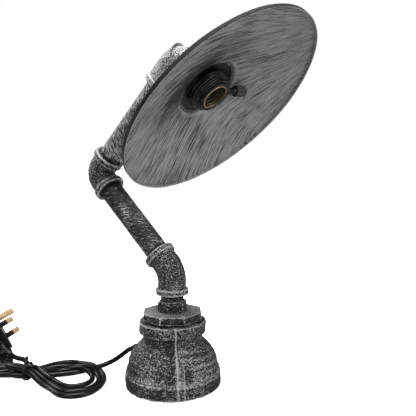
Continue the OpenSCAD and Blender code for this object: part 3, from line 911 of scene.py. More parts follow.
@dataclass
class Foot:
    """Reducing socket, octagon bushing and hex nipple.

    Attributes:
        band_r: Radius of the band at the bottom.
        bell_r: Radius at the top of the bell's shoulder.
        neck_r: Radius of the neck.
        collar_r: Radius of the collar.
        seam_turn: Direction of the casting seam, in degrees.
        gland_turn: Direction in which the cord leaves.
        gland_face: Distance of the gland's spot face from the axis.
    """

    band_r: float = 54.4
    bell_r: float = 50.6
    neck_r: float = 34.0
    collar_r: float = 37.9
    seam_turn: float = -85.0
    gland_turn: float = 146.0
    gland_face: float = 46.3
    grain: Grain = Grain(0.16, 7.0, 11)

    def outline(self) -> np.ndarray:
        """The socket's outside from the axis under it to the collar's mouth.

        The bell falls away from its shoulder as 1 - t**1.9 of the way to the neck.

        Returns:
            Points (r, z).
        """
        t = np.linspace(0, 1, 15)
        bell = np.stack([self.neck_r + (self.bell_r - self.neck_r) * (1 - t ** 1.9),
                         25.7 + 26.4 * t], -1)
        a = np.radians(180 - 15 * np.arange(7))
        flare = np.stack([self.collar_r + 4 * np.cos(a), 57 + 4.5 * np.sin(a)], -1)
        low = rounded([[0, 1.0], [46, 1.0], [self.band_r, 1.0], [self.band_r, 15.7],
                       [self.band_r - 1.7, 16.4], [self.band_r - 0.8, 18.2],
                       [self.bell_r + 0.7, 22.4], bell[0]], 1.3, 6)
        top = rounded([flare[-1], [self.collar_r, 61.6], [self.collar_r, COLLAR_TOP],
                       [32.0, COLLAR_TOP], [29.8, COLLAR_TOP - 1.6], [29.8, 68.0],
                       [0, 68.0]], 0.9, 5)
        return resampled(np.vstack([low[:-1], bell, flare[:-1], top]), 0.75)

    def wear(self, r: np.ndarray, t: np.ndarray, z: np.ndarray,
             worn: np.ndarray) -> np.ndarray:
        """Rubs the seam and its pad's edges bright and keeps their flanks dark.
        It also paints shade on the sides towards +x and -x and on the band at the
        bottom.

        Args:
            r: Radii.
            t: Angles.
            z: Heights.
            worn: Corner wear.

        Returns:
            The worn weights.
        """
        off = (t - math.radians(self.seam_turn) + math.pi) % (2 * math.pi) - math.pi
        arc = off * r
        line = 1.5 * np.exp(-(arc / 0.75) ** 2)
        pad_edge = 1.1 * np.exp(-((arc - 7.4) / 0.6) ** 2) * (z > 3) * (z < 34)
        pad_edge += 0.5 * np.exp(-((arc - 1.6) / 0.6) ** 2) * (z < 34)
        beside = 0.55 * np.exp(-((arc + 6) / 5.5) ** 2) * (z > 18) * (z < 62)
        right = 0.5 * np.exp(-((arc - 12) / 4.5) ** 2) * (z > 18) * (z < 36)
        rows = 0.24 * np.sin(z / 1.15 + 0.9 * np.sin(2 * t + 1) + 2.5 * np.sin(t * 0.5))
        rows = rows * (0.6 + 0.8 * np.sin(3.1 * t + z / 9.0))
        rows = rows * np.clip((z - 19) / 6, 0, 1) * np.clip((55 - z) / 6, 0, 1)
        lower = 0.7 * ((z > 55) & (z < 63)) * worn
        # painted shade: darkens the sides towards +x and -x
        ends = 0.45 * np.clip(np.abs(np.cos(t)) - 0.45, 0, 1) ** 1.5 * 2.0
        # painted shade: darkens the band at the bottom
        low = 0.22 * (z < 16)
        return worn * 0.9 + line + pad_edge - beside - right + rows - lower - ends - low

    def shape(self, r: np.ndarray, t: np.ndarray, z: np.ndarray) -> tuple:
        """Adds the seam and its pad, waves from the mould and the gland's flat.

        The seam is a narrow bell curve of the distance round the foot; the pad
        is a flat between two smooth steps; the flat clips the skin where it is
        nearer the gland's axis than the spot face's radius.

        Args:
            r: Radii.
            t: Angles in radians.
            z: Heights.

        Returns:
            The new radii, angles and heights.
        """
        outer = np.clip((r - 30.5) / 2.0, 0, 1)
        for turn, height in ((self.seam_turn, 0.75), (self.seam_turn + 180, 0.6)):
            off = (t - math.radians(turn) + math.pi) % (2 * math.pi) - math.pi
            arc = off * r
            r = r + outer * height * np.exp(-(arc / 0.7) ** 4) * (z > 1.5)
            if turn == self.seam_turn:
                across = 1 / (1 + np.exp(-(arc - 1.2) * 4)) / (1 + np.exp((arc - 7.6) * 4))
                high = 1 / (1 + np.exp(-(z - 16.5) * 3)) / (1 + np.exp((z - 34.0) * 2.2))
                faint = 0.35 / (1 + np.exp((z - 16.5) * 3))
                r = r + outer * 1.0 * across * (high + faint)
        wave = 0.3 * np.sin(z / 1.15 + 0.9 * np.sin(2 * t + 1)) * np.clip((z - 20) / 8, 0, 1)
        r = r + outer * wave * np.clip((56 - z) / 6, 0, 1) * (0.4 + 0.6 * np.sin(1.5 * t) ** 2)
        g = math.radians(self.gland_turn)
        x, y = r * np.cos(t), r * np.sin(t)
        out = x * math.cos(g) + y * math.sin(g)
        side = -x * math.sin(g) + y * math.cos(g)
        flat = (np.hypot(side, z - 34.0) < 6.4) & (out > self.gland_face)
        out = np.where(flat, self.gland_face, out)
        x = out * math.cos(g) - side * math.sin(g)
        y = out * math.sin(g) + side * math.cos(g)
        return np.hypot(x, y), np.arctan2(y, x), z

    def build(self, finishes: Finishes) -> None:
        """Makes the three castings.

        Args:
            finishes: The lamp's finishes.
        """
        seam = math.radians(self.seam_turn)
        fine = seam + np.radians(np.arange(-2.5, 11.5, 0.14))
        rest = np.linspace(fine[-1], fine[0] + 2 * math.pi, 300)[1:-1]
        turns = np.concatenate([fine, rest])
        socket = lathe("base_reducer_skin", self.outline(), Pose.upright(), 0,
                       self.grain, self.shape, sharp=32, wear=self.wear, turns=turns)
        settle(socket, "base", ["base_reducer"], finishes, "foot_iron")
        fine = Grain(0.1, 5.0, 5)
        # the bushing's top face takes painted light (crown) and its flats painted shade (flank)
        bushing = nut("octagon_bushing_skin", 8, [
            (0.5, 70.0, 1), (57.6, 70.0, 1), (59.0, 71.0, 1), (58.2, OCTAGON_Z - 0.9, 1),
            (61.5, OCTAGON_Z, 0.6), (64.4, OCTAGON_Z + 0.2, 0), (65.0, OCTAGON_Z + 0.7, 0),
            (65.0, HEX_Z - 0.6, 0), (64.2, HEX_Z, 0), (60.0, HEX_Z, 0.1),
            (30.0, HEX_Z, 1), (0.5, HEX_Z, 1)], Pose.upright(), 0.8, 320, fine,
            shine=1.0, crown=0.4, flank=0.3)
        settle(bushing, "base", ["octagon_bushing"], finishes, "fitting_iron")
        # the nipple's flats take painted shade (flank)
        nipple = nut("hex_nipple_skin", 6, [
            (0.5, HEX_Z - 1, 1), (27.0, HEX_Z - 1, 1), (29.0, HEX_Z + 0.3, 0.25),
            (29.5, HEX_Z + 1.2, 0), (29.5, HEX_TOP - 1.7, 0), (29.0, HEX_TOP - 0.5, 0.5),
            (28.6, HEX_TOP, 1), (25.4, HEX_TOP, 1), (25.0, HEX_TOP + 1, 1),
            (25.2, 104.0, 1), (0.5, 104.0, 1)], Pose.upright(15.4 + 30), 0.9, 192, fine,
            shine=0.5, flank=0.3)
        settle(nipple, "base", ["hex_nipple"], finishes, "fitting_iron")
        for name, low, high, r in (("nipple_thread", HEX_TOP - 0.4, 116.0, MALE_R),
                                   ("bushing_thread", COLLAR_TOP - 4, OCTAGON_Z + 0.3, 29.5)):
            thread = Thread(name, r, low, high, pitch=PIPE_PITCH if r < 20 else BUSHING_PITCH)
            piece = thread.build(Pose.upright())
            settle(piece, "base", [], finishes, "fitting_iron")


@dataclass
class Thread:
    """A length of male pipe thread.

    Attributes:
        name: The piece's name.
        r: Radius over the crests.
        low: Lower end.
        high: Upper end.
        pitch: Distance between turns.
        depth: Depth of the groove.
    """

    name: str
    r: float
    low: float
    high: float
    pitch: float = PIPE_PITCH
    depth: float = 0.9

    def build(self, pose: Pose) -> bpy.types.Object:
        """Makes the thread.

        The radius falls from the crest by depth times half of one minus the
        cosine of the turns climbed, sharpened a little, so the ridge is a helix.

        Args:
            pose: Where the local frame lies.

        Returns:
            The piece.
        """
        count = int((self.high - self.low) / self.pitch * 10) + 2
        z = np.linspace(self.low, self.high, count)
        outline = np.stack([np.full(count, self.r), z], -1)
        outline = np.vstack([[0.0, self.low], outline, [0.0, self.high]])

        def cut(r: np.ndarray, t: np.ndarray, zz: np.ndarray) -> tuple:
            """Cuts the thread into the cylinder.

            Args:
                r: Radii in millimetres.
                t: Angles in radians.
                zz: Heights in millimetres.

            Returns:
                The new radii, angles and heights.
            """
            climb = zz / self.pitch - t / (2 * math.pi)
            groove = self.depth * (0.5 - 0.5 * np.cos(2 * math.pi * climb)) ** 0.8
            return np.where(r > 1, r - groove, r), t, zz

        return lathe(self.name, outline, pose, 96, None, cut, sharp=60,
                     wear=lambda r, t, zz, worn: worn * 0 - 0.9)


# ---------------------------------------------------------------------- elbows

@dataclass
class Elbow:
    """A beaded malleable elbow.

    Attributes:
        name: The frame node that it stands for.
        turn: Angle between its mouths, in degrees.
        bend: Radius of its centreline.
        reach_in: From the corner back to the first bead's face.
        reach_out: From the corner on to the second bead's face.
        seed: Seed of the casting's bumps.
        body_r: Radius of the body between the beads.
        painted_light_shift: Painted light added all over; below zero it is painted shade.
    """

    name: str
    turn: float
    bend: float
    reach_in: float
    reach_out: float
    seed: int = 3
    body_r: float = BODY_R
    painted_light_shift: float = 0.0

    def section(self) -> tuple[np.ndarray, float]:
        """The wall as (distance along the centreline, radius).

        It starts inside the first mouth, rolls over the bead, follows the
        body and ends inside the second mouth.

        Returns:
            The outline and the centreline's length.
        """
        run = self.bend * math.tan(math.radians(self.turn / 2))
        arc = self.bend * math.radians(self.turn)
        total = self.reach_in + self.reach_out - 2 * run + arc
        half = [(5.5, 13.3), (5.5, 13.6), (1.9, 13.6), (0.0, 15.2), (0.0, BEAD_R),
                (BEAD_W, BEAD_R), (BEAD_W, self.body_r), (BEAD_W + 4, self.body_r)]
        first = rounded(half, 1.7, 6)
        last = first[::-1] * [-1, 1] + [total, 0]
        return resampled(np.vstack([first, last]), 0.8), total

    def build(self, pose: Pose) -> bpy.types.Object:
        """Makes the elbow's skin.

        Rings stand square to the centreline. A point that would cross the
        plane halfway round the bend is moved back onto it along its own leg,
        which gives the crotch its mitre.

        Args:
            pose: Frame whose +z heads into the corner.

        Returns:
            The piece.
        """
        outline, total = self.section()
        run = self.bend * math.tan(math.radians(self.turn / 2))
        start = self.reach_in - run
        full = math.radians(self.turn)
        s, r = outline[:, :1], outline[:, 1:]
        phi = np.clip((s - start) / self.bend, 0, full)
        before = np.minimum(s - start, 0)
        after = np.maximum(s - start - self.bend * full, 0)
        way = np.concatenate([np.sin(phi), 0 * phi, np.cos(phi)], -1)
        side = np.concatenate([np.cos(phi), 0 * phi, -np.sin(phi)], -1)
        centre = np.array([self.bend, 0, -run]) - self.bend * side + way * (before + after)
        t = np.linspace(0, 2 * math.pi, 128, endpoint=False)
        ring = (r[:, None] * (np.cos(t)[None, :, None] * side[:, None]
                              + np.sin(t)[None, :, None] * np.array([0, 1.0, 0])))
        points = centre[:, None] + ring
        normal = ring / np.maximum(np.linalg.norm(ring, axis=-1, keepdims=True), 1e-9)
        lift = Grain(0.14, 6.0, self.seed)(points)[..., None]
        points = points + normal * lift * np.clip((r[:, None] - 14.5) / 1.5, 0, 1)
        mid = np.array([math.sin(full / 2), 0, math.cos(full / 2)])
        depth = points @ mid
        slope = (way @ mid)[:, None]
        early = (s < total / 2)
        over = np.where(early, np.maximum(depth, 0), np.minimum(depth, 0))
        points = points - way[:, None] * (over / slope)[..., None]
        along = np.concatenate([[0], np.cumsum(np.linalg.norm(np.diff(outline, axis=0), axis=1))])
        # self.rub adds painted light all over, and painted shade where it is below zero
        wear = 1.25 * edge_wear(outline[:, ::-1], 0.8) + self.painted_light_shift
        skin = Skin(pose.place(points), along, 2 * math.pi * BODY_R, wear)
        return skin.build(self.name + "_skin", 38.0)


@dataclass
class Pipe:
    """A length of pipe with the threads that show at its ends.

    Attributes:
        name: The frame node that it stands for.
        low: Face of the bead that it leaves.
        high: Face of the bead that it enters.
        show: Bare thread left outside each bead.
        painted_light_shift: Painted light added all over; below zero it is painted shade.
    """

    name: str
    low: float
    high: float
    show: float = 3.0
    painted_light_shift: float = 0.0

    def build(self, pose: Pose) -> bpy.types.Object:
        """Makes the pipe and its thread as one skin.

        Past each end of the plain wall the radius follows a helical groove that
        runs out over the last turn.

        Args:
            pose: Frame whose +z is the pipe's axis.

        Returns:
            The piece.
        """
        a, b = self.low + self.show, self.high - self.show
        low = np.arange(self.low - 5, a, 0.18)
        high = np.arange(b, self.high + 5, 0.18)
        z = np.concatenate([low, np.arange(a, b, 1.5), high])
        outline = np.vstack([[0, z[0]], np.stack([np.full(len(z), PIPE_R), z], -1), [0, z[-1]]])

        def cut(r: np.ndarray, t: np.ndarray, zz: np.ndarray) -> tuple:
            """Cuts a fading thread into both ends of the pipe.

            Args:
                r: Radii in millimetres.
                t: Angles in radians.
                zz: Heights in millimetres.

            Returns:
                The new radii, angles and heights.
            """
            into = np.maximum(a - zz, zz - b)
            fade = np.clip(into / 1.2 + 0.3, 0, 1)
            climb = zz / PIPE_PITCH - t / (2 * math.pi)
            groove = 0.8 * (0.5 - 0.5 * np.cos(2 * math.pi * climb)) * fade
            thinner = 0.2 * np.clip(into / 0.4, 0, 1)
            return np.where(r > 1, r - groove * (into > -0.4) - thinner, r), t, zz

        # self.rub on the plain wall is painted light, and painted shade where it is below zero
        return lathe(self.name + "_skin", outline, pose, 128, Grain(0.05, 14.0, 21), cut,
                     sharp=50, wear=lambda r, t, zz, worn: np.where(
                         np.maximum(a - zz, zz - b) > -0.5, -0.9, self.painted_light_shift))


@dataclass
class Arm:
    """The three elbows and two pipes."""

    def build(self, finishes: Finishes) -> None:
        """Makes the arm.

        Args:
            finishes: The lamp's finishes.
        """
        rows = (
            (Elbow("lower_elbow", 45, BEND_45, REACH_45, REACH_45, 3), AT_LOWER_IN,
             "lower_corner", "fitting_iron"),
            # painted shade: the lower pipe is darkened all over
            (Pipe("lower_pipe", REACH_45, REACH_45 + LOWER_RUN, painted_light_shift=-0.35), AT_LOWER,
             "middle_arm", "pipe_paint"),
            (Elbow("middle_elbow", 90, BEND_90, REACH_90, REACH_90, 4), AT_MIDDLE_IN,
             "middle_arm", "fitting_iron"),
            # painted light: the upper pipe is lightened a little all over
            (Pipe("upper_pipe", REACH_90, REACH_90 + UPPER_RUN, painted_light_shift=0.1), AT_MIDDLE,
             "upper_arm", "pipe_paint"),
            # painted light: the upper elbow is lightened all over
            (Elbow("upper_elbow", 90, BEND_TIGHT, REACH_LONG, REACH_90, 5, 17.0, 0.55),
             AT_UPPER_IN, "upper_arm", "fitting_iron"))
        for part, pose, body, slot in rows:
            settle(part.build(pose), body, [part.name], finishes, slot)


# ------------------------------------------------------------------------ head

@dataclass
class Head:
    """Shade, lampholder and switch, measured back from the shade's rim.

    Attributes:
        rim_r: Outside radius of the rim.
        lip: Height of the turned lip.
        neck_r: Inside radius of the neck cup.
        slope: Slope of the cone, in degrees.
        wall: Wall of the shade.
        cup_z: Closed back of the neck cup.
    """

    rim_r: float = 121.2
    lip: float = 4.5
    neck_r: float = NECK_CUP_R
    slope: float = 17.0
    wall: float = 1.0
    cup_z: float = 49.0

    def shade_outline(self) -> np.ndarray:
        """The closed section of the shade: up the outside and back inside.

        Returns:
            Points (r, z), first on the stem hole's outer edge.
        """
        k = math.radians(self.slope)
        out = self.neck_r + self.wall
        centre = out + 4.0
        join = centre - 4.0 * math.sin(k)
        cz = self.lip + (self.rim_r - join) * math.tan(k) + 4.0 * math.cos(k)
        inner = 4.0 + self.wall
        in_join = centre - inner * math.sin(k)
        in_lip = cz - inner * math.cos(k) - (self.rim_r - self.wall - in_join) * math.tan(k)
        sweep = math.pi / 2 - k
        a = math.pi + sweep * (1 - np.linspace(0, 1, 9))
        outer_arc = np.stack([centre + 4 * np.cos(a), cz + 4 * np.sin(a)], -1)
        a = math.pi + sweep * np.linspace(0, 1, 9)
        inner_arc = np.stack([centre + inner * np.cos(a), cz + inner * np.sin(a)], -1)
        front = rounded([[self.rim_r - 1.0, in_lip], [self.rim_r - 1.0, 0.0],
                         [self.rim_r, 0.0], [self.rim_r, self.lip], outer_arc[0]], 0.45, 4)
        back = rounded([outer_arc[-1], [out, self.cup_z], [HOLE_R, self.cup_z]], 1.3, 5)
        inside = rounded([[HOLE_R, self.cup_z - 1], [self.neck_r, self.cup_z - 1],
                          inner_arc[0]], 0.8, 4)
        loop = np.vstack([front[1:-1], outer_arc[:-1], back, inside, inner_arc[1:], front[:1]])
        return resampled(loop, 1.6)

    def build(self, finishes: Finishes) -> None:
        """Makes the head's visible pieces.

        Args:
            finishes: The lamp's finishes.
        """
        shade = lathe("shade_skin", self.shade_outline(), AT_SHADE, 300,
                      Grain(0.10, 34.0, 17), joined=True, sharp=38, wear=self.shade_wear_and_painted_light,
                      brush=self.shade_brush)
        settle(shade, "upper_arm", ["shade"], finishes, "shade_paint")
        ring = lathe("shade_ring_skin", resampled(rounded(
            [[20.4, 33.6], [24.4, 33.6], [24.9, 32.8], [31.6, 32.8], [32.2, 32.3], [33.9, 32.3],
             [33.9, 34.9], [20.4, 34.9], [20.4, 33.6]], 0.35, 4), 1.2), AT_SHADE, 160,
            joined=True)
        settle(ring, "upper_arm", ["shade_ring"], finishes, "black_plastic")
        skirt = lathe("holder_shell_skin", self.skirt_outline(), AT_SHADE, 160, None,
                      self.skirt_thread, joined=True, sharp=55, wear=self.skirt_crest_highlight)
        settle(skirt, "upper_arm", ["holder_shell"], finishes, "black_plastic")
        sleeve = lathe("screw_shell_skin", self.sleeve_outline(), AT_SHADE, 128, None,
                       self.sleeve_thread, joined=True, sharp=60)
        settle(sleeve, "upper_arm", ["screw_shell"], finishes, "brass_parts")
        self.switch(finishes)

    def shade_wear_and_painted_light(self, r: np.ndarray, t: np.ndarray, z: np.ndarray,
                   worn: np.ndarray) -> np.ndarray:
        """Keeps the lip's outside black and paints shade on the silver above the holder.

        The painted shade fades as a bell curve with the distance from the neck and
        as a cosine of the angle from its middle. The inside of the neck cup also
        takes painted shade, and the neck's fillet on the other side a painted
        highlight.

        Args:
            r: Radii.
            t: Angles.
            z: Heights.
            worn: Corner wear.

        Returns:
            The worn weights.
        """
        lip = (r > self.rim_r - 0.4) & (z > 0.25) & (z < self.lip - 0.2)
        side = np.clip(0.5 + 0.5 * np.cos(t - math.radians(278)), 0, 1) ** 3
        # painted shade: darkens the silver on the side of the neck round 278 degrees
        thin = 1.9 * np.exp(-(np.maximum(r - 36, 0) / 34) ** 2) * side
        # painted shade: darkens the inside of the neck cup
        cup = 1.2 * (r < self.neck_r + 0.15) * (z < self.cup_z - 0.5)
        # painted highlight: lightens the neck's fillet on the other side
        fillet_highlight = 1.1 * np.exp(-((r - self.neck_r - 2.0) / 1.6) ** 2) * (1 - side)
        return np.where(lip, -4.0, 0.8 * worn + fillet_highlight - thin - cup)

    @staticmethod
    def shade_brush(local: np.ndarray) -> np.ndarray:
        """Brush map of the shade: strokes that fan out from beyond the rim.

        A point's polar angle about the fan's middle, times a mean reach, is the
        length across the strokes, and its distance is the length along them; a
        slow sine of the distance bends the strokes a little.

        Args:
            local: Points in the shade's frame, in millimetres.

        Returns:
            Lengths along and across.
        """
        x, y = local[..., 0] - 165.0, local[..., 1] - 95.0
        reach = np.hypot(x, y)
        angle = np.arctan2(-y, -x) + 0.05 * np.sin(reach / 41.0)
        return np.stack([reach, angle * 170.0], -1)

    @staticmethod
    def skirt_outline() -> np.ndarray:
        """Section of the holder's skirt, stepped in towards the mouth.

        Returns:
            Points (r, z).
        """
        outer = [[14.8, 17.6], [17.4, 17.0], [18.9, 17.4], [19.1, 20.2], [21.1, 20.5],
                 [21.4, 22.4], [22.6, 25.0], [23.4, 25.4], [23.4, 27.4], [22.6, 28.0],
                 [22.6, 32.7], [20.2, 32.7], [20.2, 40.0], [18.4, 40.0], [18.4, 30.0],
                 [14.8, 30.0], [14.8, 17.6]]
        return resampled(rounded(outer, 0.5, 4), 0.25)

    @staticmethod
    def skirt_crest_highlight(r: np.ndarray, t: np.ndarray, z: np.ndarray,
                   worn: np.ndarray) -> np.ndarray:
        """Paints highlights on the crests of the coarse thread, as the cube of their cosine.

        Args:
            r: Radii.
            t: Angles.
            z: Heights.
            worn: Corner wear, which is left out.

        Returns:
            The worn weights.
        """
        # painted highlight on each crest of the thread
        crest = np.clip(np.cos(2 * math.pi * z / SKIRT_PITCH - t), 0, 1) ** 3
        return np.where((r > 18.8) & (z < 32.5) & (z > 18.6), crest, 0 * worn)

    @staticmethod
    def skirt_thread(r: np.ndarray, t: np.ndarray, z: np.ndarray) -> tuple:
        """Cuts the coarse thread that takes the shade ring.

        Args:
            r: Radii.
            t: Angles.
            z: Heights.

        Returns:
            The new radii, angles and heights.
        """
        outer = (r > 18.8) & (z < 32.5) & (z > 18.6)
        climb = z / SKIRT_PITCH - t / (2 * math.pi)
        ridge = 1.0 * (0.5 - 0.5 * np.cos(2 * math.pi * climb)) ** 1.3
        return np.where(outer, r - ridge, r), t, z

    @staticmethod
    def sleeve_outline() -> np.ndarray:
        """Section of the brass screw shell.

        Returns:
            Points (r, z).
        """
        wall = [[13.9, 17.0], [14.45, 17.0], [14.45, 37.6], [5.0, 37.6], [5.0, 37.1],
                [13.9, 37.1], [13.9, 17.0]]
        return resampled(rounded(wall, 0.25, 3), 0.4)

    @staticmethod
    def sleeve_thread(r: np.ndarray, t: np.ndarray, z: np.ndarray) -> tuple:
        """Rolls the round thread into the shell.

        Args:
            r: Radii.
            t: Angles.
            z: Heights.

        Returns:
            The new radii, angles and heights.
        """
        wall = (r > 13) & (z > 18.4) & (z < 36)
        climb = z / BULB_PITCH + t / (2 * math.pi)
        return np.where(wall, r - 0.45 * (0.5 - 0.5 * np.cos(2 * math.pi * climb)), r), t, z

    @staticmethod
    def switch(finishes: Finishes) -> None:
        """Makes the switch's stem and its fluted knob.

        The knob's radius dips sixteen times in a turn, deeper away from its collar.

        Args:
            finishes: The lamp's finishes.
        """
        stem = lathe("switch_bush_skin", resampled(rounded(
            [[1.65, -1.5], [3.5, -1.5], [3.5, 4.4], [4.6, 4.4], [4.6, 6.0], [3.5, 6.0],
             [3.4, 14.5], [1.65, 14.5], [1.65, -1.5]], 0.3, 3), 0.5), AT_SWITCH, 64, None,
            lambda r, t, z: (np.where((r > 3.2) & (z > 6.5), r - 0.25 * (0.5 - 0.5 * np.cos(
                2 * math.pi * (z / 1.0 - t / (2 * math.pi)))), r), t, z), joined=True)
        settle(stem, "upper_arm", ["switch_bush"], finishes, "black_plastic")

        def flutes(r: np.ndarray, t: np.ndarray, z: np.ndarray) -> tuple:
            """Cuts the finger grooves round the knob.

            Args:
                r: Radii in millimetres.
                t: Angles in radians.
                z: Heights in millimetres.

            Returns:
                The new radii, angles and heights.
            """
            deep = 0.55 * np.clip((z - 16.2) / 0.8, 0, 1) * (r > 4.8)
            return r - deep * (0.5 + 0.5 * np.cos(16 * t)) ** 2, t, z

        knob = lathe("switch_knob_skin", resampled(rounded(
            [[1.6, 21.5], [1.6, 15.2], [6.0, 15.2], [6.0, 28.2], [5.2, 29.0], [4.7, 28.9],
             [4.6, 28.2], [0.0, 28.2]], 0.35, 4), 0.5), AT_SWITCH, 192, None, flutes, sharp=45)
        settle(knob, "knob", ["switch_knob"], finishes, "knob_plastic")


# ------------------------------------------------------------------------ cord

def smooth_handles(points: np.ndarray) -> tuple[np.ndarray, np.ndarray]:
    """Bezier handles that make one curve with even curvature through points.

    The slopes solve the natural cubic spline's equations over chord length, so
    direction and curvature both run on through every point.

    Args:
        points: Route points (n, 3).

    Returns:
        The left and right handles.
    """
    n = len(points)
    h = np.linalg.norm(np.diff(points, axis=0), axis=1)
    m = np.zeros((n, n))
    rhs = np.zeros((n, 3))
    slope = np.diff(points, axis=0) / h[:, None]
    i = np.arange(1, n - 1)
    m[i, i - 1], m[i, i], m[i, i + 1] = h[1:], 2 * (h[:-1] + h[1:]), h[:-1]
    rhs[1:-1] = 3 * (h[1:, None] * slope[:-1] + h[:-1, None] * slope[1:])
    m[0, :2], rhs[0] = (2, 1), 3 * slope[0]
    m[-1, -2:], rhs[-1] = (1, 2), 3 * slope[-1]
    tangent = np.linalg.solve(m, rhs)
    left, right = points.copy(), points.copy()
    left[1:] -= tangent[1:] * h[:, None] / 3
    right[:-1] += tangent[:-1] * h[:, None] / 3
    return left, right


FLOOR_Z = 3.0
EASED_R = 27.0
MOST_MOVE = 0.8
TIE_AT = (-170.0, 24.0)

# Centre points given in millimetres. The leads and far turns are real
# places. A near turn starts and ends at the tie with a real place; between them x
# and y are where the line of sight meets a cord on the floor, and z is the real
# height. The tail and the plug were picked in the photograph: pixels across and
# down, and the real height. The plug's axes are as seen: right, up and ahead.
LEAD_DRAWN = (
    (-44.5, 30.1, 32.4), (-53, 38, 27), (-59.2, 43, 21.3), (-65.6, 47, 15.4),
    (-71.8, 50, 10.3), (-78.5, 51.6, 6.2), (-86, 50.5, 3.6), (-95, 45, 3.1),
    (-108, 37.5, 3), (-126, 30.5, 3), (-142, 27, 3), (-157, 25, 3), (-171, 24.5, 3.05))
LEAD_LAID = (
    (-44.5, 30.1, 32.4), (-53, 38, 27), (-59.2, 43, 21.3), (-65.6, 47, 15.4),
    (-71.8, 50, 10.5), (-78.6, 51.8, 6.3), (-86.2, 50.6, 3.9), (-94.5, 46, 3.25),
    (-104, 39.6, 3.15))
FAR_TURNS = (
    ((-186, 28, 3.1), (-200, 43, 3), (-213, 70, 3), (-227, 100, 3), (-243, 121, 3),
     (-262, 125, 3), (-276, 112, 3), (-275, 92, 3), (-258, 76, 3), (-236, 62, 3),
     (-214, 47, 7), (-192, 36, 9.2)),
    ((-186, 26, 13.5), (-201, 46, 9.2), (-212, 77, 4), (-222, 104, 3), (-240, 130, 3),
     (-264, 134, 3), (-283, 118, 3), (-283, 90, 3), (-263, 69, 3), (-238, 54, 3),
     (-214, 39, 5), (-192, 28, 8.5)),
    ((-185, 32, 14.5), (-199, 52, 9.6), (-208, 82, 4.5), (-216, 108, 3), (-236, 138, 3),
     (-264, 143, 3), (-290, 125, 3), (-291, 88, 3), (-267, 62, 3), (-241, 46, 3),
     (-215, 32, 5), (-192, 20.5, 8.5)))
NEAR_TURNS = (
    ((-171, 30.4, 9.2), (-152, 60, 8), (-128, 66, 4), (-108, 61, 8.5), (-92, 45, 8.5),
     (-81, 17, 4.5), (-81, -8, 3), (-91, -28, 3), (-107, -36, 3), (-122, -30, 3),
     (-138, -10, 3), (-153, 9, 7), (-171, 17.8, 15.3)),
    ((-171, 24.2, 9.2), (-152, 50, 8), (-130, 52, 4), (-109, 50, 8), (-95, 38, 8),
     (-86.5, 16, 4), (-87, -8, 3), (-96, -23, 3), (-109, -27, 3), (-123, -19, 3),
     (-141, 3, 3.5), (-155, 24, 9), (-171, 24, 15.4)),
    ((-171, 18, 9.2), (-153, 34, 7.5), (-131, 43, 4), (-110, 42, 7.5), (-99, 31, 8),
     (-93, 12, 4), (-94, -5, 3), (-102, -17, 3), (-114, -14, 3), (-128, -1, 3),
     (-145, 21, 6), (-157, 38, 11), (-171, 30.2, 15.4)))
TAIL_SEEN = ((24.6, 359.2, 14.5), (17.0, 356.8, 13.5))
PLUG_SEEN = (3.4, 330.6, 33.5)
PLUG_X_SEEN = (0.14, -0.764, 0.635)
PLUG_Y_SEEN = (-0.58, 0.455, 0.675)
BOOT_Y, BOOT_Z = -22.0, -9.5
BOOT_APPROACH = 12.0
APPROACH_SHIFT = (3.2, 1.6, 0.8)
BOOT_DEPTH = 8.0


def run_of(line: np.ndarray) -> np.ndarray:
    """Length along a line at each of its points.

    Args:
        line: Points (n, 3).

    Returns:
        The lengths, from 0.
    """
    return np.concatenate([[0], np.cumsum(np.linalg.norm(np.diff(line, axis=0), axis=1))])


def points_at(line: np.ndarray, lengths: np.ndarray) -> np.ndarray:
    """Points of a line at given lengths along it.

    Args:
        line: Points (n, 3).
        lengths: Lengths from its start.

    Returns:
        The points.
    """
    run = run_of(line)
    return np.stack([np.interp(lengths, run, line[:, axis]) for axis in range(3)], 1)


def even_line(points: np.ndarray, step: float, spans: int = 24) -> tuple[np.ndarray, float]:
    """The smooth curve through points, as evenly spaced points.

    Args:
        points: Points (n, 3).
        step: Spacing wanted; the real one is at least this.
        spans: Straight spans that stand for the curve between two points.

    Returns:
        The spaced points and the curve's length.
    """
    left, right = smooth_handles(points)
    a, b, c, d = (q[:, None] for q in (points[:-1], right[:-1], left[1:], points[1:]))
    t = np.linspace(0, 1, spans, endpoint=False)[None, :, None]
    dense = (1 - t) ** 3 * a + 3 * (1 - t) ** 2 * t * b + 3 * (1 - t) * t * t * c + t ** 3 * d
    dense = np.vstack([dense.reshape(-1, 3), points[-1:]])
    length = float(run_of(dense)[-1])
    return points_at(dense, np.linspace(0, length, int(length / step) + 1)), length


def straightening(line: np.ndarray) -> np.ndarray:
    """The pull of a stiff line towards straight, minus its fourth difference.

    Args:
        line: Points (n, 3).

    Returns:
        One pull for each point, none on the two at either end.
    """
    pull = np.zeros_like(line)
    pull[2:-2] = -(line[4:] - 4 * line[3:-1] + 6 * line[2:-2] - 4 * line[1:-3] + line[:-4])
    return pull


def easing(line: np.ndarray, step: float, reach: int = 3) -> np.ndarray:
    """The pull of every bend tighter than EASED_R towards its chord.

    Args:
        line: Points (n, 3).
        step: Their spacing.
        reach: Points from a bend's middle to the ends of its chord.

    Returns:
        One pull for each point, none near the ends.
    """
    inward = (line[:-2 * reach] + line[2 * reach:]) / 2 - line[reach:-reach]
    sag = np.linalg.norm(inward, axis=1, keepdims=True)
    allowed = (reach * step) ** 2 / (2 * EASED_R)
    pull = np.zeros_like(line)
    pull[reach:-reach] = inward * np.clip((sag - allowed) / np.maximum(sag, 1e-6), 0, 1)
    return pull


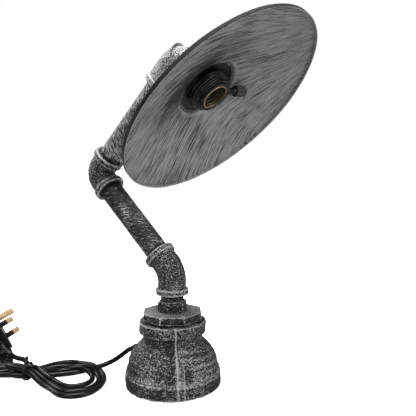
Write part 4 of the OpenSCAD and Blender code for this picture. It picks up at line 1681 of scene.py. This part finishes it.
def parting(line: np.ndarray, strands: np.ndarray, gap: float) -> np.ndarray:
    """The push between strands that are too near, half as strong downwards.

    Args:
        line: Points (n, 3).
        strands: True for the pairs of points that count as different strands.
        gap: Distance that they are pushed apart to.

    Returns:
        One push for each point.
    """
    way = line[:, None] - line[None]
    distance = np.linalg.norm(way, axis=-1) + 1e-9
    i, j = np.nonzero(strands & (distance < gap))
    near = distance[i, j][:, None]
    push = np.zeros_like(line)
    np.add.at(push, i, way[i, j] / near * ((gap - near) * 0.5))
    push *= 0.9
    push[:, 2] = np.where(push[:, 2] < 0, push[:, 2] * 0.5, push[:, 2])
    return push


@dataclass(frozen=True)
class Spell:
    """One spell of letting the drawn cord settle.

    Attributes:
        steps: Steps in it.
        gap: Distance that strands are pushed apart to, in millimetres.
        stiff: Share of the straightening pull taken in a step.
        fall: How far the cord sinks in a step, in millimetres.
        ease: Share of the easing pull taken in a step.
        hold: Strongest pull back to where the drawn cord is seen.
    """

    steps: int
    gap: float
    stiff: float
    fall: float
    ease: float
    hold: float


@dataclass(frozen=True)
class CordRoute:
    """Works the cord's centre line out from the given points.

    Attributes:
        spells: The spells of settling, in order.
        step: Spacing of the points that settle, in millimetres.
        spacing: Spacing of the points that are kept, in millimetres.
        landing: Points, two millimetres apart, where the lead comes down.
        lead_points: Points that the smoothed lead is given.
    """

    spells: Sequence[Spell] = (Spell(400, 6.2, 0.035, 0.05, 0.3, 0.06),
                               Spell(300, 6.2, 0.035, 0.02, 0.3, 0.06),
                               Spell(450, 6.1, 0.03, 0.02, 0.5, 0.03))
    step: float = 5.0
    spacing: float = 13.0
    landing: tuple = (13, 62)
    lead_points: int = 13

    def drawn(self) -> np.ndarray:
        """The given points, as real places along the cord.

        Returns:
            The points in millimetres.
        """
        camera = CameraFit()
        eye = np.array(camera.place)
        points = [np.array(LEAD_DRAWN)]
        for far, near in zip(FAR_TURNS, np.array(NEAR_TURNS, float)):
            floor = np.column_stack([near[:, :2], np.full(len(near), FLOOR_Z)])
            rise = (near[:, 2:] - FLOOR_Z) / (eye[2] - FLOOR_Z)
            seen = floor + (eye - floor) * rise
            points += [np.array(far, float), near[:1], seen[1:-1], near[-1:]]
        view = np.array(camera.axes())
        y = PLUG_Y_SEEN @ view
        y /= np.linalg.norm(y)
        x = PLUG_X_SEEN @ view
        x -= x @ y * y
        z = np.cross(x / np.linalg.norm(x), y)
        boot = camera.place_of(*PLUG_SEEN) + BOOT_Y * y + BOOT_Z * z
        tail = [camera.place_of(*spot) for spot in TAIL_SEEN]
        return np.vstack(points + tail + [boot - BOOT_APPROACH * y + APPROACH_SHIFT, boot,
                                          boot + BOOT_DEPTH * y])

    def settled(self) -> tuple[np.ndarray, float]:
        """Lets the drawn cord settle, all points at once in each step.

        Strands part, tight bends ease, the cord keeps its length and sinks to
        the floor, and every point is pulled back across its line of sight. The
        start of the lead and the end in the boot stay put.

        Returns:
            The settled line and the drawn one's length.
        """
        home, length = even_line(self.drawn(), self.step)
        step = length / (len(home) - 1)
        sight = np.array(CameraFit().place) - home
        sight /= np.linalg.norm(sight, axis=1, keepdims=True)
        fixed = np.zeros(len(home), bool)
        fixed[:int(70 / step)] = True
        fixed[-int(18 / step):] = True
        pull = np.full(len(home), 0.06)
        pull[-int(60 / step):] = 0.01
        pull[np.hypot(*(home[:, :2] - TIE_AT).T) < 22] = 0.02
        pull[home[:, 0] < -232] = 0.02
        order = np.arange(len(home))
        strands = np.abs(order[:, None] - order[None]) * step > 24
        line = home
        for spell in self.spells:
            hold = np.minimum(pull, spell.hold)[:, None]
            for _ in range(spell.steps):
                off = home - line
                span = np.diff(line, axis=0)
                slack = span * (1 - step / np.linalg.norm(span, axis=1, keepdims=True)) * 0.12
                move = (parting(line, strands, spell.gap) + straightening(line) * spell.stiff
                        + (off - (off * sight).sum(1, keepdims=True) * sight) * hold
                        + easing(line, step) * spell.ease)
                move[:-1] += slack
                move[1:] -= slack
                move[:, 2] -= spell.fall
                size = np.linalg.norm(move, axis=1, keepdims=True)
                line = line + move * np.minimum(1, MOST_MOVE / np.maximum(size, 1e-9))
                line[fixed] = home[fixed]
                line[:, 2] = np.maximum(line[:, 2], FLOOR_Z)
        return line, length

    def laid(self) -> np.ndarray:
        """The route, with the lead as laid and its landing smoothed.

        Returns:
            Centre points from the gland to inside the boot, to a tenth of a
            millimetre.
        """
        line, length = self.settled()
        kept = points_at(line, np.linspace(0, run_of(line)[-1], round(length / self.spacing) + 1))
        route = np.vstack([LEAD_LAID, kept[7:]])
        route[:, 2] = np.maximum(route[:, 2], FLOOR_Z + 0.05)
        route[route[:, 2] < 3.4, 2] += 0.25
        line, _ = even_line(route, 2.0)
        first, last = self.landing
        for _ in range(1500):
            line[first:last] += straightening(line)[first:last] * 0.06
            line[first:last, 2] = np.maximum(line[first:last, 2], FLOOR_Z + 0.1)
        lead = points_at(line, np.linspace(0, run_of(line)[last + 3], self.lead_points))
        return np.round(np.vstack([lead, route[self.lead_points:]]), 1)


@dataclass
class Cord:
    """The mains cord as one curve of fixed length.

    Attributes:
        diameter: Thickness of the cord, in metres.
        length: Its real length, in metres. It is not used.
        start: Where it leaves the gland, in metres. It is not used.
        held: Frame nodes that go with it. They are not used.
    """

    diameter: float = 0.006
    length: float = 1.978
    start: tuple = (-0.0445, 0.0301, 0.0324)
    held: tuple = ("cord_tie", "plug_boot", "plug_body", "fuse_cover", "fuse", "live_pin",
                   "neutral_pin", "earth_pin", "pin_sleeves")

    def build(self, finishes: Finishes) -> None:
        """Args:
            finishes: The lamp's finishes.
        """
        points = CordRoute().laid() * MM
        left, right = smooth_handles(points)
        curve = bpy.data.curves.new("mains_cord", "CURVE")
        curve.dimensions = "3D"
        curve.bevel_depth = self.diameter / 2
        curve.bevel_resolution = 6
        curve.resolution_u = 10
        curve.use_fill_caps = True
        line = curve.splines.new("BEZIER")
        line.bezier_points.add(len(points) - 1)
        line.bezier_points.foreach_set("co", points.astype(np.float32).ravel())
        line.bezier_points.foreach_set("handle_left", left.astype(np.float32).ravel())
        line.bezier_points.foreach_set("handle_right", right.astype(np.float32).ravel())
        cord = bpy.data.objects.new("mains_cord", curve)
        bpy.context.scene.collection.objects.link(cord)
        settle(cord, "base", ["cord_lead", "cord_hank", "cord_tail"], finishes, "cord_cover")
        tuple(self.start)
        [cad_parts[name] for name in self.held]


# ---------------------------------------------------------------- studio, camera

@dataclass(frozen=True)
class CameraFit:
    """The photograph's camera, found from the lamp's outlines.

    Attributes:
        place: Position in millimetres.
        yaw: Turn to the right of +Y, in degrees.
        pitch: Climb of the view, in degrees.
        roll: Roll, in degrees.
        lens: Focal length for a 36 mm sensor.
    """

    place: tuple = (-0.43, -569.3, 239.87)
    yaw: float = 4.21
    pitch: float = -3.92
    roll: float = -0.39
    lens: float = 43.81

    def axes(self) -> tuple[np.ndarray, np.ndarray, np.ndarray]:
        """The camera's own directions.

        Returns:
            Right, up and ahead, one unit long.
        """
        y, p, r = (math.radians(a) for a in (self.yaw, self.pitch, self.roll))
        ahead = np.array([math.sin(y) * math.cos(p), math.cos(y) * math.cos(p), math.sin(p)])
        level = np.array([math.cos(y), -math.sin(y), 0.0])
        up = np.cross(level, ahead)
        right = math.cos(r) * level + math.sin(r) * up
        return right, -math.sin(r) * level + math.cos(r) * up, ahead

    def place_of(self, across: float, down: float, height: float) -> np.ndarray:
        """The real place of a point picked in the photograph.

        Args:
            across: Pixels from the left edge.
            down: Pixels from the top edge.
            height: Its real height in millimetres.

        Returns:
            The place in millimetres.
        """
        right, up, ahead = self.axes()
        eye = np.array(self.place)
        way = ahead + right * (across - MIDDLE_PX) / FOCAL_PX - up * (down - MIDDLE_PX) / FOCAL_PX
        return eye + way * (height - eye[2]) / way[2]

    def build(self) -> bpy.types.Object:
        """Makes the camera.

        Returns:
            The camera, set as the scene's.
        """
        right, up, ahead = self.axes()
        turn = Matrix((right, up, -ahead)).transposed().to_4x4()
        data = bpy.data.cameras.new("camera")
        data.lens, data.sensor_width, data.clip_end = self.lens, 36.0, 20.0
        camera = bpy.data.objects.new("camera", data)
        camera.matrix_world = Matrix.Translation(Vector(self.place) * MM) @ turn
        bpy.context.scene.collection.objects.link(camera)
        bpy.context.scene.camera = camera
        return camera


@dataclass(frozen=True)
class SoftLight:
    """One soft studio light.

    Attributes:
        name: Its name.
        place: Position in metres.
        aim: Point that it faces.
        size: Edge of the square.
        power: Power in watts.
    """

    name: str
    place: tuple
    aim: tuple
    size: float
    power: float

    def build(self) -> bpy.types.Object:
        """Makes the light.

        Returns:
            The light.
        """
        data = bpy.data.lights.new(self.name, "AREA")
        data.size, data.energy, data.shape = self.size, self.power, "SQUARE"
        light = bpy.data.objects.new(self.name, data)
        light.location = self.place
        way = Vector(self.aim) - Vector(self.place)
        light.rotation_euler = way.to_track_quat("-Z", "Y").to_euler()
        bpy.context.scene.collection.objects.link(light)
        return light


@dataclass
class Studio:
    """Pale floor, white surroundings and soft lights."""

    lights: Sequence[SoftLight] = (
        SoftLight("key", (-0.9, -1.3, 1.4), (0.0, 0.0, 0.22), 0.9, 21.0),
        SoftLight("fill", (1.3, -1.1, 0.7), (0.0, 0.0, 0.22), 1.2, 20.0),
        SoftLight("top", (-0.1, 0.15, 1.5), (0.0, 0.0, 0.1), 0.8, 34.0),
        SoftLight("rim", (-1.2, 0.9, 0.8), (0.0, 0.0, 0.2), 0.8, 8.0))

    def build(self) -> None:
        """Makes the floor, the surroundings and the lights."""
        mesh = bpy.data.meshes.new("floor")
        s = FLOOR_REACH
        mesh.from_pydata([(-s, -s, 0), (s, -s, 0), (s, s, 0), (-s, s, 0)], [], [(0, 1, 2, 3)])
        floor = bpy.data.objects.new("floor", mesh)
        bpy.context.scene.collection.objects.link(floor)
        floor.data.materials.append(self.floor_paint())
        world = bpy.data.worlds.new("surroundings")
        world.use_nodes = True
        nodes, links = world.node_tree.nodes, world.node_tree.links
        nodes.clear()
        path = nodes.new("ShaderNodeLightPath")
        soft = nodes.new("ShaderNodeBackground")
        soft.inputs["Color"].default_value = (1, 1, 1, 1)
        soft.inputs["Strength"].default_value = 0.14
        white = nodes.new("ShaderNodeBackground")
        white.inputs["Color"].default_value = (1, 1, 1, 1)
        white.inputs["Strength"].default_value = 1.0
        mix = nodes.new("ShaderNodeMixShader")
        out = nodes.new("ShaderNodeOutputWorld")
        links.new(path.outputs["Is Camera Ray"], mix.inputs[0])
        links.new(soft.outputs[0], mix.inputs[1])
        links.new(white.outputs[0], mix.inputs[2])
        links.new(mix.outputs[0], out.inputs[0])
        bpy.context.scene.world = world
        for light in self.lights:
            light.build()
        scene = bpy.context.scene
        scene.view_settings.view_transform = "Standard"

    @staticmethod
    def floor_paint() -> bpy.types.Material:
        """A floor that photographs white and still takes a faint shadow.

        Returns:
            The material.
        """
        t = Tree("floor_paint")
        body = t.add("TexCoord").outputs["Object"]
        tone = t.ramp(t.noise(body, 4.0, 2.0), 0.3, 0.7, 0.97, 1.0)
        colour = t.mix(tone, (0.9, 0.9, 0.9), (0.94, 0.94, 0.94))
        matt = t.add("BsdfDiffuse", {"Color": colour})
        glow = t.add("Emission", {"Color": (1, 1, 1, 1), "Strength": 0.9})
        both = t.add("AddShader", {0: matt.outputs[0], 1: glow.outputs[0]})
        path = t.add("LightPath")
        plain = t.add("BsdfDiffuse", {"Color": (0.37, 0.37, 0.37, 1.0)})
        mixed = t.add("MixShader", {0: path.outputs["Is Camera Ray"], 1: plain.outputs[0],
                                    2: both.outputs[0]})
        return t.finish(mixed.outputs[0])


# ------------------------------------------------------------------------ main

INNER_SLOTS = {
    "foot_pad": ("base_pad",),
    "plain_steel": ("base_plate", "gland_nut", "stem_tube", "stem_nut", "stem_washer",
                    "switch_shaft"),
    "brass_parts": ("earth_tag", "earth_screw", "centre_contact", "terminal_screws"),
    "wire_cover": ("earth_wire",),
    "cord_cover": ("cord_inner_base", "cord_inner_lower", "cord_inner_middle",
                   "cord_inner_upper", "cord_lead", "cord_hank", "cord_tail"),
    "fitting_iron": ("shade_bush",),
    "black_plastic": ("holder_cap", "switch_body", "cord_gland"),
    "holder_ceramic": ("holder_insert", "fuse"),
    "knob_plastic": ("knob_cap",),
    "plug_plastic": ("fuse_cover", "pin_sleeves", "plug_body", "plug_boot"),
    "pin_brass": ("live_pin", "neutral_pin", "earth_pin"),
    "tie_plastic": ("cord_tie",),
}


def main() -> None:
    """Builds the camera, studio and every piece, in order."""
    logging.basicConfig(level=logging.INFO, format="%(message)s")
    CameraFit().build()
    finishes = Finishes()
    Cord().build(finishes)
    Foot().build(finishes)
    Arm().build(finishes)
    Head().build(finishes)
    for slot, nodes in INNER_SLOTS.items():
        for node in nodes:
            finishes.coat(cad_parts[node], slot)
    Studio().build()


if __name__ == "__main__":
    main()
